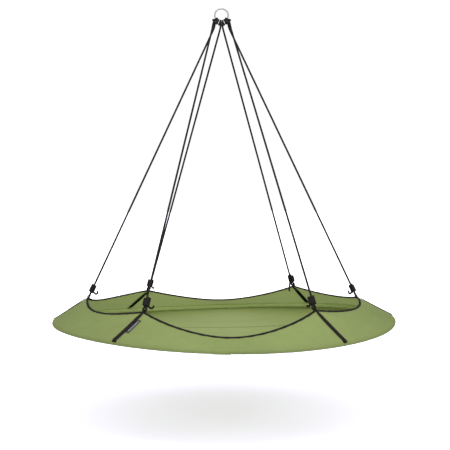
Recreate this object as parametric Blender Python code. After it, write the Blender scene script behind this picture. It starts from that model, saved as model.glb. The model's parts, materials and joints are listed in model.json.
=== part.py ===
# Saucer nest swing: a fabric dish on a round tube rim, hung by six rope legs
# from one welded ring.
# Metres, +Z up, +X right, +Y back. The origin is the hook seat, the inner top
# of the hanging ring. Angles round the dish are in degrees from +X towards +Y.
import bpy
import bmesh
import math
from types import SimpleNamespace
from mathutils import Vector

for old in list(bpy.data.objects):
    bpy.data.objects.remove(old, do_unlink=True)

# ---------------------------------------------------------------- shared dimensions
GAP = 0.0003                # air left between pieces that touch
FABRIC_T = 0.0012

RING_WIRE_R = 0.004         # hanging ring: 8 mm wire
RING_MEAN_R = 0.036         # 80 mm outside diameter
RING_STEPS = 40
RING_SIDES = 10
RING_FIT = 0.985            # section size against one whose flats lie on the wire radius
RING_CENTRE = Vector((0, 0, -(RING_MEAN_R - RING_WIRE_R)))

ROPE_R = 0.004              # 8 mm braided rope
ROPE_SIDES = 8
BENT_ROPE_R = ROPE_R * 0.98     # rope in the hitches and knot tails

RIM_DROP = 1.677            # hook seat down to the mean rim plane
RIM_R = 0.900               # tube centre line
RIM_SADDLE = 0.018          # the rim rises this much at the sides, falls at front and back
RIM_TWIST = 0.010           # and rises this much at back right and front left
RIM_STEP_DEG = 6

TUBE_R = 0.0125             # 25 mm steel tube
TUBE_WALL = 0.0012
TUBE_SIDES = 10
TUBE_DEG = 60.0             # arc of each rim tube
SPIGOT_DEG = 2.4            # length of the reduced end that enters the next tube
SPIGOT_WALL = 0.0011
SPIGOT_R = TUBE_R - TUBE_WALL - GAP
BORE_WIDE_DEG = 0.6         # the bore narrows between these two places,
BORE_NARROW_DEG = 0.3       # measured back from the tube's shoulder
RIM_JOINT_DEG = 267.0       # first joint between rim tubes

SLEEVE_INNER_R = TUBE_R + GAP
SLEEVE_OUTER_R = 0.0140
SLEEVE_GAP_DEG = 1.2        # half width of the opening where the tubes go in

FLAP_T = 0.0012
FLAP_HALF_DEG = 2.6
FLAP_TOP_DEG = 58.0         # on the rim's section, up from straight out
FLAP_LOW_DEG = -75.0
FLAP_STEPS = 6


# ---------------------------------------------------------------- mesh helpers
def material(name, colour, roughness, metallic=0.0):
    mat = bpy.data.materials.new(name)
    mat.use_nodes = True
    shader = mat.node_tree.nodes["Principled BSDF"]
    shader.inputs["Base Color"].default_value = (*colour, 1.0)
    shader.inputs["Roughness"].default_value = roughness
    shader.inputs["Metallic"].default_value = metallic
    mat.diffuse_color = (*colour, 1.0)
    return mat


def add(name, shell, mat, smooth=False, origin=(0, 0, 0)):
    """Make one named object from a closed shell of vertices and faces."""
    verts, faces = shell
    origin = Vector(origin)
    mesh = bpy.data.meshes.new(name)
    mesh.from_pydata([tuple(Vector(v) - origin) for v in verts], [], faces)
    mesh.validate()
    bm = bmesh.new()
    bm.from_mesh(mesh)
    bmesh.ops.recalc_face_normals(bm, faces=bm.faces)
    if bm.calc_volume(signed=True) < 0:
        bmesh.ops.reverse_faces(bm, faces=bm.faces)
    bm.to_mesh(mesh)
    bm.free()
    for face in mesh.polygons:
        face.use_smooth = smooth
    mesh.materials.append(mat)
    ob = bpy.data.objects.new(name, mesh)
    ob.location = origin
    bpy.context.scene.collection.objects.link(ob)
    return ob


def skin(loops, closed=False, caps=True):
    """Join equal closed loops into a tube; closed joins the last to the first."""
    sides = len(loops[0])
    count = len(loops)
    verts = [v for loop in loops for v in loop]
    faces = []
    for i in range(count if closed else count - 1):
        a, b = i * sides, ((i + 1) % count) * sides
        for k in range(sides):
            j = (k + 1) % sides
            faces.append((a + k, a + j, b + j, b + k))
    if not closed and caps:
        faces.append(tuple(reversed(range(sides))))
        faces.append(tuple(range((count - 1) * sides, count * sides)))
    return verts, faces


def grid_triangles(rows, cols, start, flip):
    """Cut a grid of points into triangles, all along the same diagonal."""
    faces = []
    for i in range(rows - 1):
        for k in range(cols - 1):
            a = start + i * cols + k
            b, c, d = a + 1, a + cols + 1, a + cols
            for tri in ((a, b, c), (a, c, d)):
                faces.append(tri[::-1] if flip else tri)
    return faces


def sheet(outer, inner):
    """Closed shell between two equal grids of points."""
    rows, cols = len(outer), len(outer[0])
    per_side = rows * cols
    verts = [p for grid in (outer, inner) for row in grid for p in row]
    faces = grid_triangles(rows, cols, 0, False) + grid_triangles(rows, cols, per_side, True)
    border = [k for k in range(cols)]
    border += [i * cols + cols - 1 for i in range(1, rows)]
    border += [(rows - 1) * cols + k for k in range(cols - 2, -1, -1)]
    border += [i * cols for i in range(rows - 2, 0, -1)]
    for a, b in zip(border, border[1:] + border[:1]):
        faces.append((b, a, per_side + a))
        faces.append((b, per_side + a, per_side + b))
    return verts, faces


def tangent(path, i):
    return (path[min(i + 1, len(path) - 1)] - path[max(i - 1, 0)]).normalized()


def round_section(centre, radius, sides, across, up):
    """Polygon round centre, its corners half a step off the across axis."""
    turns = [2 * math.pi * (k + 0.5) / sides for k in range(sides)]
    return [centre + radius * (math.cos(t) * across + math.sin(t) * up) for t in turns]


def round_bar(path, radius, sides, across):
    """Capped round bar along a path; across is the first direction of its sections."""
    loops = []
    for i, point in enumerate(path):
        along = tangent(path, i)
        across = (across - across.dot(along) * along).normalized()
        up = along.cross(across).normalized()
        loops.append(round_section(point, radius, sides, across, up))
    return skin(loops)


def spline(points, steps):
    """Catmull-Rom curve through points."""
    pts = [2 * points[0] - points[1]] + points + [2 * points[-1] - points[-2]]
    out = []
    for i in range(1, len(pts) - 2):
        p0, p1, p2, p3 = pts[i - 1:i + 3]
        for k in range(steps):
            t = k / steps
            out.append(0.5 * (2 * p1 + (p2 - p0) * t
                              + (2 * p0 - 5 * p1 + 4 * p2 - p3) * t * t
                              + (3 * p1 - p0 - 3 * p2 + p3) * t ** 3))
    out.append(pts[-2])
    return out


def turned(deg, rz):
    """Turn a (radius, height) point or direction to an angle round the dish."""
    a = math.radians(deg)
    return Vector((rz[0] * math.cos(a), rz[0] * math.sin(a), rz[1]))


# ---------------------------------------------------------------- the round rim
def rim_z(deg):
    a = 2 * math.radians(deg)
    return -RIM_DROP + RIM_SADDLE * math.cos(a) + RIM_TWIST * math.sin(a)


def rim_rz(deg, dist, phi):
    """Radius and height at dist from the tube centre, phi degrees up from straight out."""
    phi = math.radians(phi)
    return Vector((RIM_R + dist * math.cos(phi), rim_z(deg) + dist * math.sin(phi)))


def rim_point(deg, dist, phi):
    """A point on the straight run between two stations, so nested tubes stay parallel."""
    low = math.floor(deg / RIM_STEP_DEG + 1e-9) * RIM_STEP_DEG
    high = low + RIM_STEP_DEG
    start = turned(low, rim_rz(low, dist, phi))
    return start.lerp(turned(high, rim_rz(high, dist, phi)), (deg - low) / RIM_STEP_DEG)


def stations(start, end, margin):
    """Rim stations more than margin inside start and end."""
    first = math.floor(start / RIM_STEP_DEG) * RIM_STEP_DEG
    return [d for d in range(first, math.ceil(end), RIM_STEP_DEG)
            if start + margin < d < end - margin]


def rim_loops(start, end, radius):
    """Round sections of the rim at start, at every station between, and at end."""
    phis = [360.0 * (k + 0.5) / TUBE_SIDES for k in range(TUBE_SIDES)]
    return [[rim_point(d, radius, phi) for phi in phis]
            for d in [start] + stations(start, end, 0.2) + [end]]


def make_tube(i, mat):
    """One bent steel tube: open at its start, with a reduced spigot at its end."""
    end_gap = math.degrees(GAP / RIM_R)
    start = RIM_JOINT_DEG + TUBE_DEG * i + end_gap / 2
    shoulder = RIM_JOINT_DEG + TUBE_DEG * (i + 1) - end_gap / 2
    tip = shoulder + SPIGOT_DEG
    outer = rim_loops(start, shoulder, TUBE_R) + rim_loops(shoulder, tip, SPIGOT_R)
    inner = rim_loops(start, shoulder - BORE_WIDE_DEG, TUBE_R - TUBE_WALL)
    inner += rim_loops(shoulder - BORE_NARROW_DEG, tip, SPIGOT_R - SPIGOT_WALL)
    add("rim_tube_%d" % (i + 1), skin(outer + inner[::-1], closed=True), mat)


def make_sleeve(mat):
    """Fabric sleeve round the tubes, open for a short way at the first joint."""
    start = RIM_JOINT_DEG + SLEEVE_GAP_DEG
    end = RIM_JOINT_DEG + 360.0 - SLEEVE_GAP_DEG
    outer = rim_loops(start, end, SLEEVE_OUTER_R)
    inner = rim_loops(start, end, SLEEVE_INNER_R)
    add("rim_sleeve", skin(outer + inner[::-1], closed=True), mat)


def make_flap(mat):
    """Curved cover over the opening, its origin on the hinge along its upper edge."""
    inner_r = SLEEVE_OUTER_R + GAP
    outer_r = inner_r + FLAP_T
    ends = (RIM_JOINT_DEG - FLAP_HALF_DEG, RIM_JOINT_DEG + FLAP_HALF_DEG)
    phis = [FLAP_TOP_DEG + (FLAP_LOW_DEG - FLAP_TOP_DEG) * k / FLAP_STEPS
            for k in range(FLAP_STEPS + 1)]
    loops = [[rim_point(d, outer_r, p) for p in phis]
             + [rim_point(d, inner_r, p) for p in reversed(phis)] for d in ends]
    hinge = [rim_point(d, inner_r + FLAP_T / 2, FLAP_TOP_DEG) for d in ends]
    add("access_flap", skin(loops), mat, origin=(hinge[0] + hinge[1]) / 2)


# ---------------------------------------------------------------- the fabric wall
# The six lifted corners: angle, radius, and height above the mean rim plane.
CORNER_DEG = (0.0, 52.4, 126.3, 180.0, 235.6, 305.4)
CORNER_R = (0.7235, 0.7215, 0.7235, 0.7280, 0.7215, 0.7215)
CORNER_H = (0.1275, 0.1370, 0.1200, 0.1435, 0.1285, 0.1255)
WIDE_R, WIDE_H = 0.826, 0.033        # middle of the two wide scallops
WIDE_ROUNDING = 0.40                 # softens the low point of a wide scallop
WIDE_MIN_DEG = 60.0                  # spans above this are wide
NARROW_R, NARROW_H = 0.728, 0.1000   # middle of the four narrow scallops

WALL_ROWS = (0.0, 0.36, 0.70)        # rows up the wall, as fractions of the way to the strip
WALL_STRIP = 0.0095                  # narrow strip under the edge tape
WALL_TRIM = 0.0012                   # the fabric stops this far short of the scallop's edge
SPAN_TRIM_DEG = 0.035                # trimmed off each end of a wall panel

BIND_HALF = 0.0040                   # folded edge tape, 8 mm thick over its cord
BIND_DEEP = 0.0085
BIND_SLOT_HALF = 0.0009
BIND_SLOT_DEEP = 0.0058
BIND_CLEAR = 0.0010                  # takes the tape's slot end past the fabric's edge


def span(i):
    """Start and end angle of scallop i."""
    return CORNER_DEG[i], CORNER_DEG[i + 1] if i < 5 else 360.0


def edge_rz(i, deg):
    """Radius and height of scallop i's edge at an angle."""
    start, end = span(i)
    s = (2 * deg - start - end) / (end - start)     # -1 to 1 along the span
    if end - start > WIDE_MIN_DEG:
        e = WIDE_ROUNDING
        dip = 1 - (math.sqrt(s * s + e * e) - e) / (math.sqrt(1 + e * e) - e)
        mid_r, mid_h = WIDE_R, WIDE_H
    else:
        dip = 1 - s * s
        mid_r, mid_h = NARROW_R, NARROW_H
    j = (i + 1) % 6
    end_r = CORNER_R[i] + (CORNER_R[j] - CORNER_R[i]) * (s + 1) / 2
    end_h = CORNER_H[i] + (CORNER_H[j] - CORNER_H[i]) * (s + 1) / 2
    return Vector((end_r + (mid_r - end_r) * dip, -RIM_DROP + end_h + (mid_h - end_h) * dip))


def wall_frame(i, deg):
    """Foot and edge of wall i's middle surface, its upward direction and outward normal.

    All four are (radius, height); the wall leaves the sleeve tangent to it.
    """
    lift = SLEEVE_OUTER_R + GAP + FABRIC_T / 2
    edge = edge_rz(i, deg)
    foot = Vector((RIM_R, rim_z(deg)))
    slope = math.atan2(edge.y - foot.y, foot.x - edge.x)
    for _ in range(6):
        foot = Vector((RIM_R + lift * math.sin(slope), rim_z(deg) + lift * math.cos(slope)))
        slope = math.atan2(edge.y - foot.y, foot.x - edge.x)
    up = Vector((-math.cos(slope), math.sin(slope)))
    out = Vector((math.sin(slope), math.cos(slope)))
    return foot, edge, up, out


def span_angles(i):
    start, end = span(i)
    return [start + SPAN_TRIM_DEG] + stations(start, end, 1.0) + [end - SPAN_TRIM_DEG]


def make_wall(i, mat):
    outer, inner = [], []
    for d in span_angles(i):
        foot, edge, up, out = wall_frame(i, d)
        edge = edge - up * WALL_TRIM
        strip = edge - up * WALL_STRIP
        column = [foot.lerp(strip, f) for f in WALL_ROWS] + [strip, edge]
        outer.append([turned(d, p + out * FABRIC_T / 2) for p in column])
        inner.append([turned(d, p - out * FABRIC_T / 2) for p in column])
    add("wall_panel_%d" % (i + 1), sheet(outer, inner), mat)


def make_binding(i, mat):
    """Edge tape folded over the wall's edge and its cord: a U section."""
    loops = []
    for d in span_angles(i):
        _, edge, up, out = wall_frame(i, d)
        top = edge + up * (BIND_DEEP - BIND_SLOT_DEEP - BIND_CLEAR)
        low = top - up * BIND_DEEP
        slot = low + up * BIND_SLOT_DEEP
        belly = low.lerp(top, 0.55)
        half = out * BIND_HALF
        slot_half = out * BIND_SLOT_HALF
        section = [low + half * 0.8, belly + half, top + half * 0.45,
                   top - half * 0.45, belly - half, low - half * 0.8,
                   low - slot_half, slot - slot_half, slot + slot_half, low + slot_half]
        loops.append([turned(d, p) for p in section])
    verts, faces = skin(loops, caps=False)
    last = len(verts) - len(loops[0])
    # end caps in convex pieces: the bridge over the slot and the two lips
    for piece in ((2, 3, 7, 8), (1, 2, 8), (0, 1, 8, 9), (3, 4, 7), (4, 5, 6, 7)):
        faces.append(tuple(reversed(piece)))
        faces.append(tuple(last + k for k in piece))
    add("edge_binding_%d" % (i + 1), (verts, faces), mat)


# ---------------------------------------------------------------- ring and hitches
HITCH_DEG = (-136.0, -90.0, -44.0)      # round the ring in the XZ plane, from +X towards +Z
HITCH_NAMES = ("hitch_left", "hitch_centre", "hitch_right")
HITCH_OUT = 0.0235          # how far out of the ring's wire the legs leave a hitch
HITCH_SIDES = 7
WRAP_R = RING_WIRE_R + ROPE_R + GAP + 0.0004    # rope centre line round the wire
BEND_Z = -0.0945            # where the rope legs bend below their hitches
LEG_APART = 0.0052          # half the spacing of the two legs of a hitch
HITCH_END_RISE = ROPE_R + 0.0012    # the hitch's rope ends this far above the legs' tops

# Half a hitch, from its leg to the middle of its front. The first and last parts are
# (along the ring, out of it, to the front); the wrap is (along, angle round the wire),
# the angle running from straight out towards the back.
HITCH_RISE = ((0.0046, 0.0170, 0.0024), (0.0046, 0.0095, 0.0066))
HITCH_WRAP = ((0.0046, 285), (0.0044, 240), (0.0043, 205), (0.0043, 170),
              (0.0050, 130), (0.0062, 95), (0.0082, 60), (0.0112, 25))
HITCH_CROSS = ((0.0128, 0.0110, 0.0040), (0.0122, 0.0150, 0.0100),
               (0.0085, 0.0162, 0.0140), (0.0040, 0.0164, 0.0152))


def make_ring(mat):
    """Welded round ring in the XZ plane; one flat facet is centred at its inner top."""
    section_r = RING_WIRE_R / math.cos(math.pi / RING_SIDES) * RING_FIT
    # the inner facet is pushed out so that its middle is exactly at the hook seat
    seat_r = (RING_MEAN_R - RING_WIRE_R) / math.cos(math.pi / RING_STEPS)
    loops = []
    for i in range(RING_STEPS):
        a = 2 * math.pi * (i + 0.5) / RING_STEPS + math.pi / 2
        out = Vector((math.cos(a), 0, math.sin(a)))
        loop = []
        for k in range(RING_SIDES):
            b = 2 * math.pi * (k + 0.5) / RING_SIDES
            inner = k in (RING_SIDES // 2 - 1, RING_SIDES // 2)
            r = seat_r if inner else RING_MEAN_R + section_r * math.cos(b)
            loop.append(RING_CENTRE + out * r + Vector((0, section_r * math.sin(b), 0)))
        loops.append(loop)
    add("hanging_ring", skin(loops, closed=True), mat)


def hitch_frame(hitch):
    """Place on the ring's wire, direction out of the ring and direction along it."""
    a = math.radians(HITCH_DEG[hitch])
    out = Vector((math.cos(a), 0, math.sin(a)))
    along = Vector((-math.sin(a), 0, math.cos(a)))
    return RING_CENTRE + out * RING_MEAN_R, out, along


def leg_top(hitch, side):
    """Where a hitch's right (+1) or left (-1) leg bends, in the ring's plane."""
    wire, out, _ = hitch_frame(hitch)
    return Vector(((wire + out * HITCH_OUT).x + LEG_APART * side, 0.0, BEND_Z))


def make_hitch(hitch, mat):
    """One rope, folded: up in front of the wire, over it, down behind, and across the front."""
    wire, out, along = hitch_frame(hitch)
    front = Vector((0, -1, 0))
    wrap = [(x, WRAP_R * math.cos(math.radians(phi)), -WRAP_R * math.sin(math.radians(phi)))
            for x, phi in HITCH_WRAP]
    half = [*HITCH_RISE, *wrap, *HITCH_CROSS]
    course = half + [(-x, o, f) for x, o, f in reversed(half)]
    path = [wire + along * x + out * o + front * f for x, o, f in course]
    rise = Vector((0, 0, HITCH_END_RISE))
    path = [leg_top(hitch, 1) + rise] + path + [leg_top(hitch, -1) + rise]
    shell = round_bar(path, BENT_ROPE_R, HITCH_SIDES, Vector((0, 1, 0)))
    add(HITCH_NAMES[hitch], shell, mat, smooth=True)


# ---------------------------------------------------------------- rope legs and knots
# Hitch that holds each corner's leg, and its side of that hitch (+1 right, -1 left).
LEG_HITCH = ((2, -1), (1, 1), (1, -1), (0, 1), (0, -1), (2, 1))
LOOP_OFF = 0.0083           # rope loop's lowest point from the corner
STRAND = ROPE_R + GAP / 2   # half the spacing of the two strands in a knot
LOOP_HALF_W = 0.0100
LOOP_BOW_H = 0.0072         # height of the loop's bowed bottom
LOOP_POWER = 2.6            # superellipse power of the bow
LOOP_STEPS = 10
DOME_DEG = (4, 26, 50, 70)  # sections of the leg's round top, measured from its pole

KNOT_LOW = 0.0215           # knot bottom above the rope loop's lowest point
KNOT_LEN = 0.047
KNOT_HALF_W = 0.0160
KNOT_HALF_T = 0.0120
KNOT_WRAPS = 6
KNOT_SIDES = 10
KNOT_END_SIZE = 0.72        # section size at the knot's ends, against the crest of a wrap
KNOT_GROOVE_SIZE = 0.86     # and between wraps
LEG_STRAIGHT_END = KNOT_LOW + KNOT_LEN + 0.032      # height of the leg's section above the knot
CHANNEL_FIT = 0.98          # trims the channel's depth
CHANNEL_SPLIT = 0.0002      # and this much is added on each face

TAIL_SIDES = 6
TAIL_RISE = 0.0058          # the tail starts this far above the knot's foot
TAIL_INSET = 0.0018         # and this far beyond the strands,
TAIL_MAX_DEEP = 0.0103      # but no further than this from the knot's axis
# Tail paths from the knot's foot, millimetres: right, back, up.
# The first point only sets the direction in which the tail leaves.
TAILS = (
    ((-6, 0, 5), (-14, -2, 3), (-20, -3, -6), (-26, -4, -8), (-31, -4, -1), (-31, -4, 10)),
    ((-5, -5, 5), (-12, -10, 3), (-16, -16, -8), (-18, -20, -24), (-20, -22, -40),
     (-19, -23, -54)),
    ((5, -5, 5), (12, -10, 3), (18, -15, -6), (24, -18, -10), (29, -20, -4)),
    ((6, 0, 5), (14, -2, 2), (22, -3, -7), (30, -4, -9), (36, -4, -2), (35, -4, 8)),
    ((5, 5, 5), (12, 9, 2), (20, 12, -7), (29, 14, -11), (36, 15, -6), (40, 15, 3)),
    ((-5, 5, 5), (-12, 10, 2), (-18, 14, -7), (-24, 17, -10), (-29, 19, -3)),
)


def corner_frame(c):
    """Frame of corner c, where the wall, the strap and the rope loop meet.

    corner, up, out, rope_rz and loop_rz are (radius, height); loop is the rope loop's
    lowest point, rope the leg's direction and side runs between its two strands.
    """
    deg = CORNER_DEG[c]
    corner = Vector((CORNER_R[c], -RIM_DROP + CORNER_H[c]))
    _, _, up, out = wall_frame(c, deg)
    radial = turned(deg, (1, 0))
    round_dish = Vector((-radial.y, radial.x, 0))
    strand_sign = 1.0 if c % 2 else -1.0

    def strand_side(rope):
        return (round_dish - round_dish.dot(rope) * rope).normalized() * strand_sign

    top = leg_top(*LEG_HITCH[c])
    rope = (top - turned(deg, corner)).normalized()
    # the loop's place and the rope's direction depend on each other
    for _ in range(4):
        rope_rz = Vector((rope.dot(radial), rope.z)).normalized()
        loop_rz = corner + (up + rope_rz).normalized() * LOOP_OFF
        loop = turned(deg, loop_rz)
        rope = (top - (loop + strand_side(rope) * STRAND)).normalized()
    return SimpleNamespace(corner=corner, up=up, out=out, rope_rz=rope_rz, loop_rz=loop_rz,
                           loop=loop, rope=rope, side=strand_side(rope), top=top)


def make_leg(c, mat):
    """A rope leg: round top, straight down, a loop through the strap and back up in its knot."""
    fr = corner_frame(c)
    path, radii = [], []
    for deg in DOME_DEG:
        path.append(fr.top + fr.rope * ROPE_R * math.cos(math.radians(deg)))
        radii.append(ROPE_R * math.sin(math.radians(deg)))
    path.append(fr.top)
    straight_top = len(path)

    # sideways and up from the loop's lowest point
    neck = [(STRAND, KNOT_LOW + 0.002), (STRAND, KNOT_LOW - 0.0015),
            (STRAND + 0.0015, 0.0160), (0.0085, 0.0110)]
    bow = []
    for k in range(LOOP_STEPS + 1):
        x = math.cos(math.pi * k / LOOP_STEPS)
        h = LOOP_BOW_H * (1 - (1 - abs(x) ** LOOP_POWER) ** (1 / LOOP_POWER))
        bow.append((LOOP_HALF_W * x, h))
    course = [(STRAND, LEG_STRAIGHT_END)] + neck + bow + [(-x, h) for x, h in reversed(neck)]
    course.append((-STRAND, KNOT_LOW + KNOT_LEN - 0.002))
    path += [fr.loop + fr.side * x + fr.rope * h for x, h in course]
    radii += [ROPE_R] * (len(path) - len(radii))

    face = fr.side.cross(fr.rope)       # square to the plane of the two strands
    loops = []
    for i, (point, radius) in enumerate(zip(path, radii)):
        along = -fr.rope if i < straight_top else tangent(path, i)
        across = face.cross(along).normalized()
        loops.append(round_section(point, radius, ROPE_SIDES, across, face))
    add("rope_leg_%d" % (c + 1), skin(loops), mat, smooth=True)


def tail_path(c, fr, foot, face):
    """Centre line of a knot's tail, starting between the strands' channel and the knot's side."""
    points = [Vector(p) / 1000 for p in TAILS[c]]
    way = points[0].normalized()
    way = (way - way.dot(fr.rope) * fr.rope).normalized()
    deep = (abs(way.dot(fr.side)) * (STRAND + ROPE_R)
            + abs(way.dot(face)) * ROPE_R * 0.9 + TAIL_INSET)
    start = foot + fr.rope * TAIL_RISE + way * min(deep, TAIL_MAX_DEEP)
    return spline([start] + [foot + p for p in points[1:]], 2)


def make_knot(c, mat):
    """A noose knot: wraps round both strands, with a channel for them and a short curled tail."""
    fr = corner_frame(c)
    face = fr.side.cross(fr.rope)
    foot = fr.loop + fr.rope * KNOT_LOW

    def section(h, half_x, half_y, spread, split=0.0):
        """An ellipse parted by spread to either side and by split front to back."""
        points = []
        for k in range(KNOT_SIDES):
            a = 2 * math.pi * (k + 0.5) / KNOT_SIDES
            x = half_x * math.cos(a) + math.copysign(spread, math.cos(a))
            y = half_y * math.sin(a) + math.copysign(split, math.sin(a))
            points.append(foot + fr.rope * h + fr.side * x + face * y)
        return points

    def wrap(h, size):
        return section(h, KNOT_HALF_T * size, KNOT_HALF_T * size, KNOT_HALF_W - KNOT_HALF_T)

    def channel(h):
        half = ROPE_R + GAP
        deep = half / math.cos(math.pi / ROPE_SIDES) * CHANNEL_FIT
        return section(h, half, deep, STRAND, CHANNEL_SPLIT)

    pitch = KNOT_LEN / KNOT_WRAPS
    loops = [wrap(0.0, KNOT_END_SIZE)]
    for k in range(KNOT_WRAPS):
        loops.append(wrap(pitch * (k + 0.5), 1.0))
        last = k == KNOT_WRAPS - 1
        loops.append(wrap(pitch * (k + 1), KNOT_END_SIZE if last else KNOT_GROOVE_SIZE))
    loops += [channel(KNOT_LEN), channel(0.0)]
    knot = add("noose_knot_%d" % (c + 1), skin(loops, closed=True), mat,
               smooth=True, origin=foot)

    shell = round_bar(tail_path(c, fr, foot, face), BENT_ROPE_R, TAIL_SIDES, fr.rope)
    tail = add("tail_shape_%d" % (c + 1), shell, mat, smooth=True, origin=foot)
    tail.hide_render = True
    tail.display_type = "WIRE"
    union = knot.modifiers.new("tail", "BOOLEAN")
    union.operation = "UNION"
    union.solver = "EXACT"
    union.object = tail


# ---------------------------------------------------------------- corner straps and label
STRAP_T = 0.0024
STRAP_HALF_W = 0.0125       # half of 25 mm webbing
STRAP_NECK = 0.0055         # half width where it is gathered under the knot
STRAP_SKEW = (0.0, 0.6, 1.2, 0.0, -1.9, 0.8)   # degrees each strap's foot sits off its corner
STRAP_OFF = FABRIC_T / 2 + GAP + STRAP_T / 2   # strap's middle from the wall's, outside
STRAP_INNER_OFF = STRAP_OFF + 0.0016           # and inside

FOOT_LOW_DEG = 12           # the foot's lower end on the rim's section
FOOT_TOP_SHORT_DEG = 9      # its upper end, short of where the wall leaves
FOOT_EXTRA = (0.0003, 0.0003, 0.0003, 0.0003, 0.0008)   # lift off the sleeve, low to top
# On the wall: fraction of its height, extra lift, share of the full width.
STRAP_OUTER = ((0.0, 0.0004, 1.0), (0.35, 0.0004, 1.0), (0.62, 0.0004, 0.97),
               (0.80, 0.0008, 0.84))
STRAP_INNER = ((0.80, 0.0018, 0.78), (0.62, 0.0014, 0.95), (0.35, 0.0006, 1.0),
               (0.10, 0.0, 1.0))
# Near the corner: distance down from it, extra lift, share of the neck's width.
NECK_OUTER = ((0.0165, 0.0030, 1.25), (0.0085, 0.0049, 1.05), (0.0030, 0.0050, 1.05))
NECK_INNER = ((0.0040, 0.0035, 1.05), (0.0095, 0.0040, 1.05), (0.0190, 0.0031, 1.25))
ARCH_DEG = (-8, 20, 50, 90, 130, 160, 188)      # over the rope, from outside to inside
ARCH_R = ROPE_R + 0.0005 + STRAP_T / 2
ARCH_RISE = 0.0012          # arch centre above the rope loop's lowest point

LABEL_START = 0.27          # how far up the wall it begins
LABEL_LEN = 0.098
LABEL_W = 0.021
LABEL_T = 0.0010
LABEL_STEPS = 3
LABEL_OFF = FABRIC_T / 2 + GAP + 0.0007 + LABEL_T / 2   # label's middle from the wall's
LABEL_SIDE_GAP = 0.0012     # between the strap's edge and the label's


def strap_frame(c, f):
    """The wall under strap c at a fraction f of its height.

    Gives the angle, the wall's foot, up and out directions and height, and the strap's
    sideways direction, which tilts with the rim towards the foot.
    """
    deg = CORNER_DEG[c] + STRAP_SKEW[c] * (1 - f)
    panel = c if STRAP_SKEW[c] >= 0 else (c - 1) % 6
    panel_deg = deg + 360.0 if panel == 5 and deg < 10 else deg
    foot, edge, up, out = wall_frame(panel, panel_deg)
    a = math.radians(deg)
    slope = (2 * RIM_TWIST * math.cos(2 * a) - 2 * RIM_SADDLE * math.sin(2 * a)) / RIM_R
    side = Vector((-math.sin(a), math.cos(a), slope * (1 - f))).normalized()
    return deg, foot, up, out, (edge - foot).length, side


def on_wall(c, f, lift):
    """(radius, height) of a point on strap c's line, lifted off the wall's middle."""
    _, foot, up, out, height, _ = strap_frame(c, f)
    return foot + up * (height * f) + out * lift


def strap_course(c):
    """The strap's sections: (radius, height), half width, fraction up the wall."""
    fr = corner_frame(c)
    course = []
    # foot over the sleeve's upper outer face
    deg, _, _, out, _, _ = strap_frame(c, 0.0)
    top_phi = math.degrees(math.atan2(out.y, out.x)) - FOOT_TOP_SHORT_DEG
    for i, extra in enumerate(FOOT_EXTRA):
        phi = FOOT_LOW_DEG + (top_phi - FOOT_LOW_DEG) * i / (len(FOOT_EXTRA) - 1)
        dist = SLEEVE_OUTER_R + GAP + STRAP_T / 2 + extra
        course.append((rim_rz(deg, dist, phi), STRAP_HALF_W, 0.0))
    for f, extra, share in STRAP_OUTER:
        course.append((on_wall(c, f, STRAP_OFF + extra), STRAP_HALF_W * share, f))
    for back, extra, share in NECK_OUTER:
        point = fr.corner - fr.up * back + fr.out * (STRAP_OFF + extra)
        course.append((point, STRAP_NECK * share, 1.0))
    # arch over the rope loop
    away = Vector((fr.rope_rz.y, -fr.rope_rz.x))     # square to the rope, towards the outside
    for arch_deg in ARCH_DEG:
        a = math.radians(arch_deg)
        reach = away * math.cos(a) + fr.rope_rz * math.sin(a)
        point = fr.loop_rz + fr.rope_rz * ARCH_RISE + reach * ARCH_R
        course.append((point, STRAP_NECK, 1.0))
    for back, extra, share in NECK_INNER:
        point = fr.corner - fr.up * back - fr.out * (STRAP_INNER_OFF + extra)
        course.append((point, STRAP_NECK * share, 1.0))
    for f, extra, share in STRAP_INNER:
        course.append((on_wall(c, f, -(STRAP_INNER_OFF + extra)), STRAP_HALF_W * share, f))
    return course


def make_strap(c, mat):
    """Webbing folded over the corner: outer leg down to the sleeve, rope arch, inner leg."""
    course = strap_course(c)
    line = [point for point, _, _ in course]
    loops = []
    for i, (point, half_w, f) in enumerate(course):
        along = tangent(line, i)
        thick = Vector((-along.y, along.x)) * STRAP_T / 2
        deg, _, _, _, _, side = strap_frame(c, f)
        one, other = turned(deg, point + thick), turned(deg, point - thick)
        wide = side * half_w
        loops.append([one + wide, one - wide, other - wide, other + wide])
    add("corner_strap_%d" % (c + 1), skin(loops), mat)


def make_label(mat):
    """Label outside the wall beside corner_strap_5, on the strap's front side, edge to edge."""
    ends = []
    f = LABEL_START
    for _ in range(2):
        deg, _, _, out, height, side = strap_frame(4, f)
        ends.append(turned(deg, on_wall(4, f, LABEL_OFF))
                    + side * (STRAP_HALF_W + LABEL_SIDE_GAP))
        f += LABEL_LEN / height
    low = ends[0]
    along = (ends[1] - low).normalized()
    high = low + along * LABEL_LEN
    normal = turned(deg, out)
    normal = (normal - normal.dot(along) * along).normalized()
    side = along.cross(normal)
    thick = normal * LABEL_T / 2
    shifts = [side * (LABEL_W * k / LABEL_STEPS) for k in range(LABEL_STEPS + 1)]
    outer = [[p + shift + thick for p in (low, high)] for shift in shifts]
    inner = [[p + shift - thick for p in (low, high)] for shift in shifts]
    add("side_label", sheet(outer, inner), mat, origin=(low + high) / 2)


# ---------------------------------------------------------------- deck
DECK_R = 0.8880             # the floor's edge meets the sleeve on its lower inner side
DECK_DROP = 0.0088
DECK_SAG = 0.0202
DECK_RINGS = (1.0, 0.86, 0.64, 0.36)    # rings of points, as fractions of its radius
SEAM_HALF_GAP = 0.0004      # each half stops this far from the middle line


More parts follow.
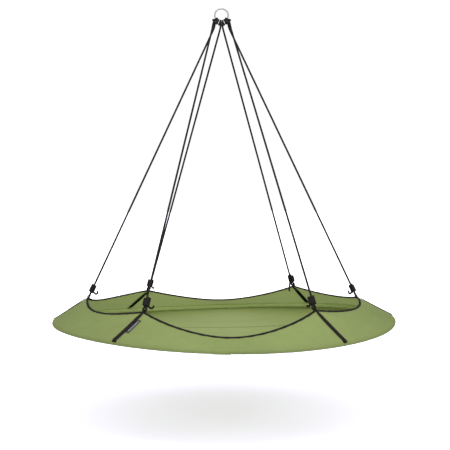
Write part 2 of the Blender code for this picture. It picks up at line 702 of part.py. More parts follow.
def make_deck(name, start_deg, y_sign, mat):
    """Half of the sagging floor, from start_deg on, on the y_sign side of the middle line."""
    degs = [start_deg + d for d in range(0, 181, RIM_STEP_DEG)]

    def point(deg, q, lift):
        z = (-RIM_DROP - DECK_DROP + (rim_z(deg) + RIM_DROP) * q * q
             - DECK_SAG * (1 - q * q) + lift)
        return turned(deg, (DECK_R * q, z)) + Vector((0, y_sign * SEAM_HALF_GAP, 0))

    cols, rows = len(degs), len(DECK_RINGS)
    per_side = cols * rows + 1
    centre = per_side - 1
    verts, faces = [], []
    for start, lift in ((0, FABRIC_T / 2), (per_side, -FABRIC_T / 2)):
        flip = start > 0
        verts += [point(d, q, lift) for q in DECK_RINGS for d in degs]
        verts.append(point(degs[0], 0.0, lift))
        faces += grid_triangles(rows, cols, start, flip)
        inmost = start + (rows - 1) * cols
        for k in range(inmost, inmost + cols - 1):
            tri = (k, k + 1, start + centre)
            faces.append(tri[::-1] if flip else tri)
    for k in range(cols - 1):
        faces.append((k + 1, k, per_side + k, per_side + k + 1))
    seam = [j * cols for j in range(rows)] + [centre]
    seam += [j * cols + cols - 1 for j in reversed(range(rows))]
    for a, b in zip(seam, seam[1:]):
        faces.append((a, b, per_side + b, per_side + a))
    add(name, (verts, faces), mat)


# ---------------------------------------------------------------- build
ring_steel = material("ring_steel", colour=(0.560, 0.570, 0.580), roughness=0.32, metallic=1.0)
rope_black = material("rope_black", colour=(0.020, 0.020, 0.021), roughness=0.78)
webbing = material("webbing_black", colour=(0.022, 0.022, 0.023), roughness=0.72)
wall_fabric = material("wall_fabric", colour=(0.270, 0.340, 0.130), roughness=0.80)
deck_fabric = material("deck_fabric", colour=(0.260, 0.330, 0.130), roughness=0.82)
binding_tape = material("binding_tape", colour=(0.035, 0.038, 0.030), roughness=0.75)
tube_steel = material("tube_steel", colour=(0.300, 0.310, 0.310), roughness=0.45, metallic=0.9)
label_black = material("label_black", colour=(0.030, 0.030, 0.032), roughness=0.70)

make_ring(ring_steel)
for hitch_no in range(3):
    make_hitch(hitch_no, rope_black)
for make, mat in ((make_leg, rope_black), (make_knot, rope_black), (make_strap, webbing),
                  (make_tube, tube_steel), (make_wall, wall_fabric),
                  (make_binding, binding_tape)):
    for number in range(6):
        make(number, mat)
make_sleeve(wall_fabric)
make_flap(wall_fabric)
make_deck("deck_panel_back", 0.0, 1.0, deck_fabric)
make_deck("deck_panel_front", 180.0, -1.0, deck_fabric)
make_label(label_black)
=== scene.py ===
"""A round sling swing: cloth deck and six scalloped cloth walls on a tubular steel rim,
hung from one ring by three doubled ropes that end in wrapped knots at six wall corners.

Metres, +Z up. The ring is at the top, on the Z axis in the XZ plane, and the rim circles the
same axis RIM_DROP below the origin. Front is -Y, right is +X. Angles round the rim are degrees
from +X towards +Y. "rz" is a (radius, height) pair in the upright plane through the Z axis.
"""
import json
import math
from itertools import product
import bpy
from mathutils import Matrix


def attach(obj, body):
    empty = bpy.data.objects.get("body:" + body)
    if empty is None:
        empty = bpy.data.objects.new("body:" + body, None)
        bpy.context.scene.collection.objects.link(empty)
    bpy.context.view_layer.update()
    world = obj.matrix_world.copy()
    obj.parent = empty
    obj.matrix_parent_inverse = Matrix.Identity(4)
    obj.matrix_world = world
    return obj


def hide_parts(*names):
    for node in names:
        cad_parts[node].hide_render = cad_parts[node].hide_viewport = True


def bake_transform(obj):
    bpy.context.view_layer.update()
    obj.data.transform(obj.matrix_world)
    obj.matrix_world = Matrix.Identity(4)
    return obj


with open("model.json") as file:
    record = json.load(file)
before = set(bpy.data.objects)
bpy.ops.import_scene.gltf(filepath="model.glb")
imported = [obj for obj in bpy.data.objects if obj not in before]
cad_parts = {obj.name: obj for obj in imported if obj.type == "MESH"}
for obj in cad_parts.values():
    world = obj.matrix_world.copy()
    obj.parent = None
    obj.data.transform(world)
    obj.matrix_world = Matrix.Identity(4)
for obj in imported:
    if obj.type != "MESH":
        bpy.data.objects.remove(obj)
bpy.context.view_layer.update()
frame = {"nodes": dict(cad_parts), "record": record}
from types import SimpleNamespace

import bmesh
import bpy
import numpy as np
from mathutils import Matrix, Vector

PI = math.pi
GAP = 0.0003                # clearance between touching pieces

# ------------------------------------------------------------------ driving sizes
# ring and ropes
RING_WIRE_R = 0.004
RING_MEAN_R = 0.036
ROPE_R = 0.004
STRAND = ROPE_R + GAP / 2   # half the distance between the two strands in a knot

# rim: a circle whose height rises and falls twice round
RIM_DROP = 1.677
RIM_R = 0.900
RIM_SADDLE = 0.018
RIM_TWIST = 0.010
RIM_JOINT_DEG = 267.0
SLEEVE_OUT = 0.0140         # outer radius of the cloth round the tube
SLEEVE_GAP_DEG = 1.2        # half the opening left at the joint
FLAP_HALF_DEG = 2.6
FLAP_TOP_DEG = 58.0         # the flap's ends, as angles round the tube
FLAP_LOW_DEG = -75.0
FLAP_PANEL = 4              # the wall panel over the flap

# walls: corners by angle, radius and height above the rim
CORNERS = (0.0, 52.4, 126.3, 180.0, 235.6, 305.4)
CORNER_R = (0.7235, 0.7215, 0.7235, 0.7280, 0.7215, 0.7215)
CORNER_H = (0.1275, 0.1370, 0.1200, 0.1435, 0.1285, 0.1255)
WIDE_SPAN_DEG = 60.0        # panels longer than this dip as wide ones
WIDE_R, WIDE_H = 0.826, 0.033       # middle of a wide panel's top edge
WIDE_ROUND = 0.40                   # how round that dip is at its lowest
NARROW_R, NARROW_H = 0.728, 0.1000  # middle of a narrow panel's top edge
FABRIC = 0.0012
WALL_LIFT = SLEEVE_OUT + GAP + FABRIC / 2   # wall's middle surface from the tube's centre
WRAP_LOW = -62.0            # the wall cloth ends at this angle round the tube
WALL_CUT_DEG = 0.030        # each panel stops this far short of its corners

# corner straps
STRAP_T = 0.0024
STRAP_W = 0.0125            # half width
STRAP_NECK = 0.0055         # half width where it is gathered round the rope
STRAP_SKEW = (0.0, 0.6, 1.2, 0.0, -1.9, 0.8)    # degrees the foot is turned from the corner
STRAP_STEP = 0.0016         # distance between cross sections
LOOP_RISE = 0.0083          # rope loop's centre from the wall corner

# knots
KNOT_LOW = 0.0215           # foot of the knot above the loop
KNOT_LEN = 0.047
KNOT_WRAPS = 6

# deck
DECK_R = 0.8880
DECK_DROP = 0.0088
DECK_SAG = 0.0202

# side label, beside the strap of LABEL_CORNER
LABEL_CORNER = 4
LABEL_START = 0.27          # lower end, as a fraction of the wall's height
LABEL_LEN, LABEL_W, LABEL_T = 0.098, 0.021, 0.0010
LABEL_MARGIN = 0.009        # plain part at each end
LABEL_BAR_HALF = 0.0025     # half length of the short bars
LABEL_BAR_PITCH = 0.0065

# hitches on the ring: angle on the ring, and the corners its two legs run to, (-X leg, +X leg)
HITCH_NAMES = ("left", "centre", "right")
HITCH_DEG = (-136.0, -90.0, -44.0)
HITCH_LEGS = ((4, 3), (2, 1), (0, 5))
HITCH_OUT = 0.0235
LEG_APART = 0.0052          # half the distance between the two legs' tops

JOINTS = {joint["name"]: joint for joint in frame["record"]["behaviour"]["joints"]}
BEND_Z = JOINTS["fore_aft_swing"]["pos_m"][2]
RING_CENTRE = np.array([0.0, 0.0, JOINTS["side_swing"]["pos_m"][2]])


# ------------------------------------------------------------------ small maths
def unit(vector):
    vector = np.asarray(vector, float)
    return vector / np.linalg.norm(vector)


def ease(x):
    """0 below 0, 1 above 1, smooth between."""
    x = np.clip(x, 0.0, 1.0)
    return x * x * (3 - 2 * x)


class Noise:
    """Smooth value noise on a lattice, the same every run."""

    def __init__(self, seed):
        self.lattice = np.random.default_rng(seed).uniform(-1, 1, (64, 64, 64))

    def __call__(self, points):
        points = np.asarray(points, float)
        cell = np.floor(points).astype(int)
        part = points - cell
        part = part * part * (3 - 2 * part)
        total = 0.0
        for corner in product((0, 1), repeat=3):
            wx, wy, wz = (part[..., k] if corner[k] else 1 - part[..., k] for k in range(3))
            ix, iy, iz = ((cell[..., k] + corner[k]) % 64 for k in range(3))
            total = total + wx * wy * wz * self.lattice[ix, iy, iz]
        return total

    def at(self, x, y=0.0, z=0.0):
        return self(np.stack(np.broadcast_arrays(x, y, z), -1))


fold_noise = Noise(seed=3)
pucker_noise = Noise(seed=8)


# ------------------------------------------------------------------ curves
def resample(path, step):
    """Evenly spaced points on a polyline of any dimension, and their distances along it."""
    path = np.asarray(path, float)
    moves = np.linalg.norm(np.diff(path, axis=0), axis=1)
    path = path[np.concatenate([[True], moves > 1e-7])]
    moves = np.linalg.norm(np.diff(path, axis=0), axis=1)
    along = np.concatenate([[0], np.cumsum(moves)])
    count = max(2, int(round(along[-1] / step)) + 1)
    even = np.linspace(0, along[-1], count)
    columns = [np.interp(even, along, path[:, k]) for k in range(path.shape[1])]
    return np.stack(columns, 1), even


def spline(points, steps):
    """Centripetal Catmull-Rom curve through the points."""
    points = np.asarray(points, float)
    points = np.vstack([2 * points[0] - points[1], points, 2 * points[-1] - points[-2]])
    curve = []
    for i in range(1, len(points) - 2):
        four = points[i - 1:i + 3]
        knots = [0.0]
        for a, b in zip(four, four[1:]):
            knots.append(knots[-1] + max(np.linalg.norm(b - a), 1e-9) ** 0.5)

        def blend(first, last, start, end):
            low, high = knots[first], knots[last]
            return (high - t) / (high - low) * start + (t - low) / (high - low) * end

        for j in range(steps):
            t = knots[1] + (knots[2] - knots[1]) * j / steps
            a1, a2, a3 = (blend(k, k + 1, four[k], four[k + 1]) for k in range(3))
            curve.append(blend(1, 2, blend(0, 2, a1, a2), blend(1, 3, a2, a3)))
    curve.append(points[-2])
    return np.array(curve)


def transport(path, side):
    """Two normals along a path, turning no more than they must."""
    tangents = np.gradient(path, axis=0)
    tangents /= np.linalg.norm(tangents, axis=1)[:, None]
    normals = np.zeros_like(path)
    normal = np.asarray(side, float)
    for i, tangent in enumerate(tangents):
        normal = normal - normal.dot(tangent) * tangent
        normal /= np.linalg.norm(normal)
        normals[i] = normal
    return normals, np.cross(tangents, normals)


# ------------------------------------------------------------------ meshes
def face_outward(ob):
    bm = bmesh.new()
    bm.from_mesh(ob.data)
    bmesh.ops.recalc_face_normals(bm, faces=bm.faces)
    if bm.calc_volume(signed=True) < 0:
        bmesh.ops.reverse_faces(bm, faces=bm.faces)
    bm.to_mesh(ob.data)
    bm.free()


def mesh_object(name, verts, faces, mat, uv=None, outward=True):
    """faces: list of (m, 3) or (m, 4) index arrays; uv: for each, corner values or None."""
    uv = uv or [None] * len(faces)
    verts = np.asarray(verts, float).reshape(-1, 3)
    mesh = bpy.data.meshes.new(name)
    mesh.vertices.add(len(verts))
    mesh.vertices.foreach_set("co", verts.ravel())
    faces = [np.asarray(part, int) for part in faces]
    corners = np.concatenate([part.ravel() for part in faces])
    sizes = np.concatenate([np.full(len(part), part.shape[1]) for part in faces])
    mesh.loops.add(len(corners))
    mesh.loops.foreach_set("vertex_index", corners)
    mesh.polygons.add(len(sizes))
    mesh.polygons.foreach_set("loop_start", np.concatenate([[0], np.cumsum(sizes)[:-1]]))
    mesh.polygons.foreach_set("loop_total", sizes)
    if any(values is not None for values in uv):
        layer = mesh.uv_layers.new(name="uv")
        filled = [np.zeros((part.size, 2)) if values is None
                  else np.asarray(values, float).reshape(-1, 2)
                  for part, values in zip(faces, uv)]
        layer.data.foreach_set("uv", np.concatenate(filled).ravel())
    mesh.update(calc_edges=True)
    mesh.validate()
    mesh.polygons.foreach_set("use_smooth", np.full(len(mesh.polygons), True))
    mesh.materials.append(mat)
    ob = bpy.data.objects.new(name, mesh)
    bpy.context.scene.collection.objects.link(ob)
    if outward:
        face_outward(ob)
    return ob


def grid_faces(rows, cols, wrap_cols=False, wrap_rows=False, base=0, flip=False):
    """Quads of a grid, and the (row, column) of each of their corners."""
    row, col = np.meshgrid(np.arange(rows if wrap_rows else rows - 1),
                           np.arange(cols if wrap_cols else cols - 1), indexing="ij")
    row, col = row.ravel(), col.ravel()
    around = ((row, col), (row, col + 1), (row + 1, col + 1), (row + 1, col))
    quads = np.stack([base + (r % rows) * cols + (c % cols) for r, c in around], 1)
    cells = np.stack([np.stack(pair, 1) for pair in around], 1)
    if flip:
        quads, cells = quads[:, ::-1], cells[:, ::-1]
    return quads, cells


def edge_quads(upper, lower):
    """Quads that join two matching closed rings of vertices."""
    return np.stack([np.roll(upper, -1), upper, lower, np.roll(lower, -1)], 1)


def sheet_object(name, outer, inner, grid_uv, mat, flip=False):
    """A closed thin sheet from two (rows, cols, 3) grids of points."""
    rows, cols = outer.shape[:2]
    size = rows * cols
    quads_out, cells_out = grid_faces(rows, cols, flip=flip)
    quads_in, cells_in = grid_faces(rows, cols, base=size, flip=not flip)
    index = np.arange(size).reshape(rows, cols)
    border = np.concatenate([index[0], index[1:, -1], index[-1, -2::-1], index[-2:0:-1, 0]])
    edge = edge_quads(border, border + size)
    if flip:
        edge = edge[:, ::-1]
    uv = [grid_uv[cells[..., 0], cells[..., 1]] for cells in (cells_out, cells_in)]
    verts = np.concatenate([outer.reshape(-1, 3), inner.reshape(-1, 3)])
    return mesh_object(name, verts, [quads_out, quads_in, edge], mat, uv + [None])


def tube_object(name, loops, mat, along, turn_len=1.0, closed=False):
    """loops (m, n, 3); uv = (position round times turn_len, distance along)."""
    count, sides, _ = loops.shape
    quads, cells = grid_faces(count, sides, wrap_cols=True, wrap_rows=closed)
    if closed:
        along = np.append(along, along[-1] + (along[1] - along[0]))
    verts = loops.reshape(-1, 3)
    faces = [quads]
    uvs = [np.stack([cells[..., 1] / sides * turn_len, along[cells[..., 0]]], -1)]
    if not closed:
        centre = len(verts)
        verts = np.concatenate([verts, [loops[0].mean(0), loops[-1].mean(0)]])
        here = np.arange(sides)
        after = (here + 1) % sides
        last = (count - 1) * sides
        faces.append(np.stack([np.full(sides, centre), after, here], 1))
        faces.append(np.stack([np.full(sides, centre + 1), last + here, last + after], 1))
        uvs += [np.full((sides, 3, 2), end) for end in (along[0], along[-1])]
    return mesh_object(name, verts, faces, mat, uvs)


BRAID = 6           # strands each way round the rope
BRAID_LEAN = 0.85   # turns a strand makes in one circumference of length
ROPE_SIDES = 18
ROPE_RELIEF = 0.00022


def braid_relief(turn, dist):
    """Height 0..1 of a plaited cover; turn is 1 once round, dist is in circumferences."""
    one = BRAID * (turn + dist * BRAID_LEAN)
    two = BRAID * (turn - dist * BRAID_LEAN)
    high_one, high_two = (np.sqrt(np.clip(1 - (2 * (way - np.floor(way)) - 1) ** 2, 0, 1))
                          for way in (one, two))
    over = (np.floor(one) + np.floor(two)) % 2 == 0
    return np.where(over, np.maximum(high_one, 0.55 * high_two),
                    np.maximum(high_two, 0.55 * high_one))


def rope_object(name, path, step, passes, radius, side):
    """A braided rope along a path evened out by a few smoothing passes, thinned at its ends."""
    points, along = resample(path, step)
    for _ in range(passes):
        points[1:-1] = 0.25 * points[:-2] + 0.5 * points[1:-1] + 0.25 * points[2:]
    normals, binormals = transport(points, side)
    ang = 2 * PI * (np.arange(ROPE_SIDES) + 0.5) / ROPE_SIDES
    turn = np.broadcast_to(ang / (2 * PI), (len(points), ROPE_SIDES))
    relief = braid_relief(turn, (along / (2 * PI * radius))[:, None])
    radii = radius - ROPE_RELIEF + ROPE_RELIEF * relief
    from_end = np.minimum(along, along[-1] - along)
    radii = radii * (0.62 + 0.38 * ease(from_end / 0.0022))[:, None]
    ring = (np.cos(ang)[None, :, None] * normals[:, None, :]
            + np.sin(ang)[None, :, None] * binormals[:, None, :])
    loops = points[:, None, :] + radii[..., None] * ring
    return tube_object(name, loops, M_ROPE, along / (2 * PI * ROPE_R))


STITCH_SIDES = 5
STITCH_STEP = 0.001
# rings of one stitch: fraction of its length, share of its radius, lift in radii
STITCH_RINGS = ((0.16, 0.85, 0.0), (0.5, 1.0, 0.35), (0.84, 0.85, 0.0))


def stitch_object(name, runs, mat, body, length=0.0046, pitch=0.0070, radius=0.00042):
    """Rows of sewn stitches. runs: list of (points, normals) along the seams."""
    ang = 2 * PI * np.arange(STITCH_SIDES) / STITCH_SIDES
    verts, quads, tris = [], [], []
    base = 0
    for line, line_normals in runs:
        points, along = resample(np.hstack([line, line_normals]), STITCH_STEP)
        normals = points[:, 3:] / np.linalg.norm(points[:, 3:], axis=1)[:, None]
        points = points[:, :3]
        count = int(along[-1] / pitch)
        margin = (along[-1] - count * pitch) / 2
        for j in range(count):
            first = int((margin + j * pitch + (pitch - length) / 2) / STITCH_STEP)
            last = int((margin + j * pitch + (pitch + length) / 2) / STITCH_STEP)
            last = min(last, len(points) - 1)
            start, end, normal = points[first], points[last], normals[(first + last) // 2]
            tangent = end - start
            reach = np.linalg.norm(tangent)
            if reach < 1e-5:    # the normal turns here but the seam does not advance
                continue
            tangent = tangent / reach
            across = np.cross(tangent, normal)
            ring = np.cos(ang)[:, None] * normal + np.sin(ang)[:, None] * across
            for part, share, lift in STITCH_RINGS:
                centre = start + tangent * reach * part + normal * radius * lift
                verts.append(centre + share * radius * ring)
            verts.append([start - normal * radius * 0.8, end - normal * radius * 0.8])
            n = STITCH_SIDES
            after = [(k + 1) % n for k in range(n)]
            for low in (base, base + n):
                quads += [(low + k, low + n + k, low + n + after[k], low + after[k])
                          for k in range(n)]
            for k in range(n):
                tris.append((base + 3 * n, base + k, base + after[k]))
                tris.append((base + 3 * n + 1, base + 2 * n + after[k], base + 2 * n + k))
            base += 3 * n + 2
    ob = mesh_object(name, np.vstack(verts), [quads, tris], mat)
    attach(ob, body)
    return ob


# ------------------------------------------------------------------ materials
def shade(colour, factor, add=0.0):
    return tuple(value * factor + add for value in colour)


class Shader:
    """Writes one material's node tree."""

    def __init__(self, name):
        self.material = bpy.data.materials.new(name)
        self.material.use_nodes = True
        self.tree = self.material.node_tree
        self.bsdf = self.tree.nodes["Principled BSDF"]

    def node(self, kind, **settings):
        node = self.tree.nodes.new(kind)
        for key, value in settings.items():
            setattr(node, key, value)
        return node

    def put(self, socket, value):
        """Link an output to the socket, or set its value."""
        if isinstance(value, bpy.types.NodeSocket):
            self.tree.links.new(value, socket)
        else:
            socket.default_value = value

    def math(self, operation, a, b=0.0):
        node = self.node("ShaderNodeMath", operation=operation)
        for socket, value in zip(node.inputs, (a, b, 0.0)):
            self.put(socket, value)
        return node.outputs[0]

    def add(self, a, b):
        return self.math("ADD", a, b)

    def sub(self, a, b):
        return self.math("SUBTRACT", a, b)

    def mul(self, a, b):
        return self.math("MULTIPLY", a, b)

    def sine(self, a):
        return self.math("SINE", a)

    def size(self, a):
        return self.math("ABSOLUTE", a)

    def coords(self, kind="UV"):
        if kind == "Object":
            return self.node("ShaderNodeTexCoord").outputs["Object"]
        return self.node("ShaderNodeUVMap", uv_map="uv").outputs[0]

    def xyz(self, vector):
        node = self.node("ShaderNodeSeparateXYZ")
        self.put(node.inputs[0], vector)
        return node.outputs[0], node.outputs[1], node.outputs[2]

    def stretched(self, vector, scale):
        node = self.node("ShaderNodeMapping")
        self.put(node.inputs["Vector"], vector)
        node.inputs["Scale"].default_value = scale
        return node.outputs[0]

    def noise(self, vector, scale, detail, rough):
        node = self.node("ShaderNodeTexNoise")
        self.put(node.inputs["Vector"], vector)
        node.inputs["Scale"].default_value = scale
        node.inputs["Detail"].default_value = detail
        node.inputs["Roughness"].default_value = rough
        return node.outputs["Fac"]

    def ramp(self, value, read, give=(0.0, 1.0)):
        """Map the range read onto the range give."""
        node = self.node("ShaderNodeMapRange")
        self.put(node.inputs["Value"], value)
        for key, limit in zip(("From Min", "From Max", "To Min", "To Max"), read + give):
            node.inputs[key].default_value = limit
        return node.outputs[0]

    def mix(self, factor, a, b):
        node = self.node("ShaderNodeMix", data_type="RGBA")
        self.put(node.inputs[0], factor)
        self.put(node.inputs[6], (*a, 1.0) if isinstance(a, tuple) else a)
        self.put(node.inputs[7], (*b, 1.0) if isinstance(b, tuple) else b)
        return node.outputs[2]

    def bump(self, height, strength, distance, below=None):
        node = self.node("ShaderNodeBump")
        node.inputs["Strength"].default_value = strength
        node.inputs["Distance"].default_value = distance
        self.put(node.inputs["Height"], height)
        if below is not None:
            self.put(node.inputs["Normal"], below)
        return node.outputs[0]

    def set(self, **inputs):
        for key, value in inputs.items():
            self.put(self.bsdf.inputs[key.replace("_", " ")], value)


def fabric(name, colour, pitch=0.0011, kind="UV", through=0.0, inner=1.0):
    """Plain-woven cloth: threads over and under, slubs, soft patches of fading. uv in metres.

    through is the share of light let through; inner is painted light: it brightens the side facing
    the middle.
    """
    m = Shader(name)
    place = m.coords(kind)
    x, y, z = m.xyz(place)
    if kind == "Object":
        y = m.add(y, m.mul(z, 0.7))
    wave_x = m.sine(m.mul(x, PI / pitch))
    wave_y = m.sine(m.mul(y, PI / pitch))
    weave = m.mul(wave_x, wave_y)
    thread_x = m.size(wave_x)
    thread_y = m.size(wave_y)
    over = m.math("GREATER_THAN", weave, 0.0)
    height = m.add(m.mul(over, thread_x), m.mul(m.sub(1.0, over), thread_y))
    spot = m.coords("Object")
    broad = m.noise(spot, scale=3.2, detail=3.0, rough=0.55)
    middle = m.noise(spot, scale=22.0, detail=4.0, rough=0.6)
    slub = m.noise(m.stretched(place, scale=(900.0, 45.0, 1.0)), scale=1.0, detail=2.0, rough=0.55)
    patches = m.add(m.mul(broad, 0.45), m.add(m.mul(middle, 0.30), m.mul(slub, 0.25)))
    base = m.mix(m.ramp(patches, read=(0.30, 0.70)), shade(colour, 0.89), shade(colour, 1.08))
    # painted shade: the gaps between threads are darkened, up to a quarter of the way towards 0.45
    # of the colour
    gap_painted_shade = m.ramp(height, read=(0.0, 0.55), give=(0.25, 0.0))
    base = m.mix(gap_painted_shade, base, shade(colour, 0.45))
    if inner != 1.0:
        # painted light: the side that faces the middle is brightened by the factor inner
        px, py, _ = m.xyz(spot)
        nx, ny, _ = m.xyz(m.node("ShaderNodeTexCoord").outputs["Normal"])
        facing = m.add(m.mul(px, nx), m.mul(py, ny))
        inward_painted_light = m.ramp(facing, read=(-0.45, 0.10), give=(1.0, 0.0))
        base = m.mix(inward_painted_light, base, shade(colour, inner))
    m.set(Base_Color=base, Roughness=m.ramp(slub, read=(0.2, 0.8), give=(0.82, 0.95)),
          Specular_IOR_Level=0.10)
    threads = m.bump(height, strength=0.22, distance=0.00025)
    m.set(Normal=m.bump(middle, strength=0.10, distance=0.002, below=threads))
    if through > 0:
        # light comes through the thin cloth once, although it is a closed shell of two faces
        glow = m.node("ShaderNodeBsdfTranslucent")
        m.put(glow.inputs["Color"], base)
        cloth = m.node("ShaderNodeMixShader")
        cloth.inputs[0].default_value = through
        clear = m.node("ShaderNodeBsdfTransparent")
        inside = m.node("ShaderNodeNewGeometry")
        either = m.node("ShaderNodeMixShader")
        m.put(cloth.inputs[1], m.bsdf.outputs[0])
        m.put(cloth.inputs[2], glow.outputs[0])
        m.put(either.inputs[0], inside.outputs["Backfacing"])
        m.put(either.inputs[1], cloth.outputs[0])
        m.put(either.inputs[2], clear.outputs[0])
        m.put(m.tree.nodes["Material Output"].inputs["Surface"], either.outputs[0])
    return m.material


def rope_material(name, colour):
    """Braided cord, uv in turns and circumferences."""
    m = Shader(name)
    x, y, _ = m.xyz(m.coords())
    one = m.mul(m.add(x, m.mul(y, BRAID_LEAN)), float(BRAID))
    two = m.mul(m.sub(x, m.mul(y, BRAID_LEAN)), float(BRAID))

    def profile(way):
        across = m.sub(m.mul(m.math("FRACT", way), 2.0), 1.0)
        return m.math("SQRT", m.math("MAXIMUM", m.sub(1.0, m.mul(across, across)), 0.0))

    high_one, high_two = profile(one), profile(two)
    swap = m.math("FLOORED_MODULO", m.add(m.math("FLOOR", one), m.math("FLOOR", two)), 2.0)
    height = m.add(m.mul(m.sub(1.0, swap), high_one), m.mul(swap, high_two))
    # three yarns inside each strand
    yarn = m.add(m.mul(m.sub(1.0, swap), m.sine(m.mul(one, 2 * PI * 3))),
                 m.mul(swap, m.sine(m.mul(two, 2 * PI * 3))))
    sheen_patches = m.noise(m.coords("Object"), scale=55.0, detail=4.0, rough=0.6)
    # painted shade: the low parts of each strand, where the strands cross and dip, are darkened to
    # 0.30 of the colour
    base = m.mix(m.ramp(height, read=(0.15, 0.95)), shade(colour, 0.30), colour)
    # painted sheen: random patches are lightened to 1.8 times the colour plus 0.003; the same
    # noise varies the roughness
    base = m.mix(m.ramp(sheen_patches, read=(0.55, 0.85), give=(0.0, 0.45)), base,
                 shade(colour, 1.8, add=0.003))
    m.set(Base_Color=base, Roughness=m.ramp(sheen_patches, read=(0.3, 0.8), give=(0.72, 0.90)),
          Specular_IOR_Level=0.08)
    strands = m.bump(height, strength=0.55, distance=0.0004)
    m.set(Normal=m.bump(yarn, strength=0.20, distance=0.00012, below=strands))
    return m.material


def webbing_material(name, colour):
    """Ribbed webbing with a chevron weave, uv in metres across and along."""
    m = Shader(name)
    x, y, _ = m.xyz(m.coords())
    ribs = m.size(m.sine(m.mul(x, PI / 0.0016)))
    rise = m.mul(y, PI / 0.0012)
    zigzag = m.mul(m.size(m.sine(m.mul(x, PI / 0.0064))), 2.2)
    chevron = m.size(m.sine(m.add(rise, zigzag)))
    height = m.mul(m.add(ribs, 0.4), chevron)
    sheen_patches = m.noise(m.coords("Object"), scale=60.0, detail=4.0, rough=0.6)
    # painted shade and highlight: the low parts of the weave are darkened to 0.4 of the colour and
    # the raised ribs lightened to 1.25 times it
    base = m.mix(m.ramp(height, read=(0.1, 1.2)), shade(colour, 0.4), shade(colour, 1.25))
    # painted sheen: random patches are lightened to 1.8 times the colour plus 0.003
    base = m.mix(m.ramp(sheen_patches, read=(0.58, 0.85), give=(0.0, 0.35)), base,
                 shade(colour, 1.8, add=0.003))
    m.set(Base_Color=base, Roughness=0.80, Specular_IOR_Level=0.08)
    m.set(Normal=m.bump(height, strength=0.5, distance=0.0003))
    return m.material


def steel_material(name, colour, rough):
    """Brushed metal with small dark spots."""
    m = Shader(name)
    spot = m.coords("Object")
    brushed = m.stretched(spot, scale=(1.0, 1.0, 60.0))
    grain = m.noise(brushed, scale=90.0, detail=4.0, rough=0.6)
    spots = m.noise(spot, scale=260.0, detail=5.0, rough=0.65)
    base = m.mix(m.ramp(grain, read=(0.35, 0.7)), shade(colour, 0.82), colour)
    base = m.mix(m.ramp(spots, read=(0.66, 0.80), give=(0.0, 0.55)), base, shade(colour, 0.45))
    m.set(Base_Color=base, Metallic=1.0,
          Roughness=m.ramp(grain, read=(0.3, 0.75), give=(rough - 0.06, rough + 0.14)))
    m.set(Normal=m.bump(grain, strength=0.12, distance=0.0003))
    return m.material


def label_material():
    """Black woven label: two plain grey stripes with short bars between, no lettering."""
    m = Shader("label_weave")
    x, y, _ = m.xyz(m.coords())
    rib = m.size(m.sine(m.mul(y, PI / 0.0005)))
    off_mid = m.size(m.sub(x, LABEL_W * 0.5))
    stripe = m.mul(m.math("GREATER_THAN", off_mid, 0.0036), m.math("LESS_THAN", off_mid, 0.0046))
    inside = m.mul(m.math("GREATER_THAN", y, LABEL_MARGIN),
                   m.math("LESS_THAN", y, LABEL_LEN - LABEL_MARGIN))
    beat = (m.math("LESS_THAN", off_mid, LABEL_BAR_HALF),
            m.math("GREATER_THAN", m.sine(m.mul(y, 2 * PI / LABEL_BAR_PITCH)), 0.0))
    bars = m.mul(*beat)
    mark = m.mul(inside, m.math("MAXIMUM", stripe, bars))
    base = m.mix(m.mul(mark, 0.9), (0.020, 0.019, 0.020), (0.33, 0.33, 0.34))
    m.set(Base_Color=base, Roughness=0.6, Specular_IOR_Level=0.3)
    m.set(Normal=m.bump(m.add(rib, m.mul(mark, 0.8)), strength=0.4, distance=0.0002))
    return m.material


OLIVE = (0.306, 0.371, 0.142)
# painted shade: the deck is the walls' olive cloth darkened, so that its upward face, which takes
# more light, renders as dark as the walls
DECK_SHADED_OLIVE = (OLIVE[0] * 0.74, OLIVE[1] * 0.75, OLIVE[2] * 0.63)
M_WALL = fabric("wall_cloth", OLIVE, through=0.47)
# painted light: the sleeve's side facing the middle is brightened 1.7 times
M_SLEEVE = fabric("sleeve_cloth", OLIVE, through=0.20, inner=1.7)
M_DECK = fabric("deck_cloth", DECK_SHADED_OLIVE, pitch=0.0014, through=0.14)
M_THREAD = fabric("thread_olive", (0.250, 0.305, 0.115), pitch=0.0005, kind="Object")
M_THREAD_BLACK = fabric("thread_black", (0.022, 0.020, 0.020), pitch=0.0005, kind="Object")
M_ROPE = rope_material("rope_cover", (0.0155, 0.0130, 0.0130))
M_WEB = webbing_material("webbing", (0.0145, 0.0120, 0.0120))
M_BIND = webbing_material("edge_tape", (0.0150, 0.0140, 0.0120))
M_RING = steel_material("zinc_ring", (0.33, 0.34, 0.36), rough=0.52)
M_TUBE = steel_material("rim_tube_steel", (0.42, 0.43, 0.44), rough=0.38)
M_LABEL = label_material()


# ------------------------------------------------------------------ rim and wall surfaces
def rim_z(deg):
    twice = 2 * np.radians(deg)
    return -RIM_DROP + RIM_SADDLE * np.cos(twice) + RIM_TWIST * np.sin(twice)


def rim_point(deg, radius, phi):
    """Points round the rim tube; phi is 0 outward and 90 up."""
    a = np.radians(deg)
    r = RIM_R + radius * np.cos(np.radians(phi))
    z = rim_z(deg) + radius * np.sin(np.radians(phi))
    return np.stack([r * np.cos(a), r * np.sin(a), z], -1)


def rim_run(deg, radius, phi):
    """A stitch run on the rim tube: points and outward directions."""
    points = rim_point(deg, radius, phi)
    return points, points - rim_point(deg, 0.0, phi)


def turned(deg, rz):
    """rz pairs turned to their angle round the Z axis."""
    a = np.radians(deg)
    rz = np.asarray(rz, float)
    return np.stack([rz[..., 0] * np.cos(a), rz[..., 0] * np.sin(a), rz[..., 1]], -1)


def span(panel):
    """Start and end angle of a panel, and whether it is a wide one."""
    start = CORNERS[panel]
    end = CORNERS[panel + 1] if panel < 5 else 360.0
    return start, end, (end - start) > WIDE_SPAN_DEG


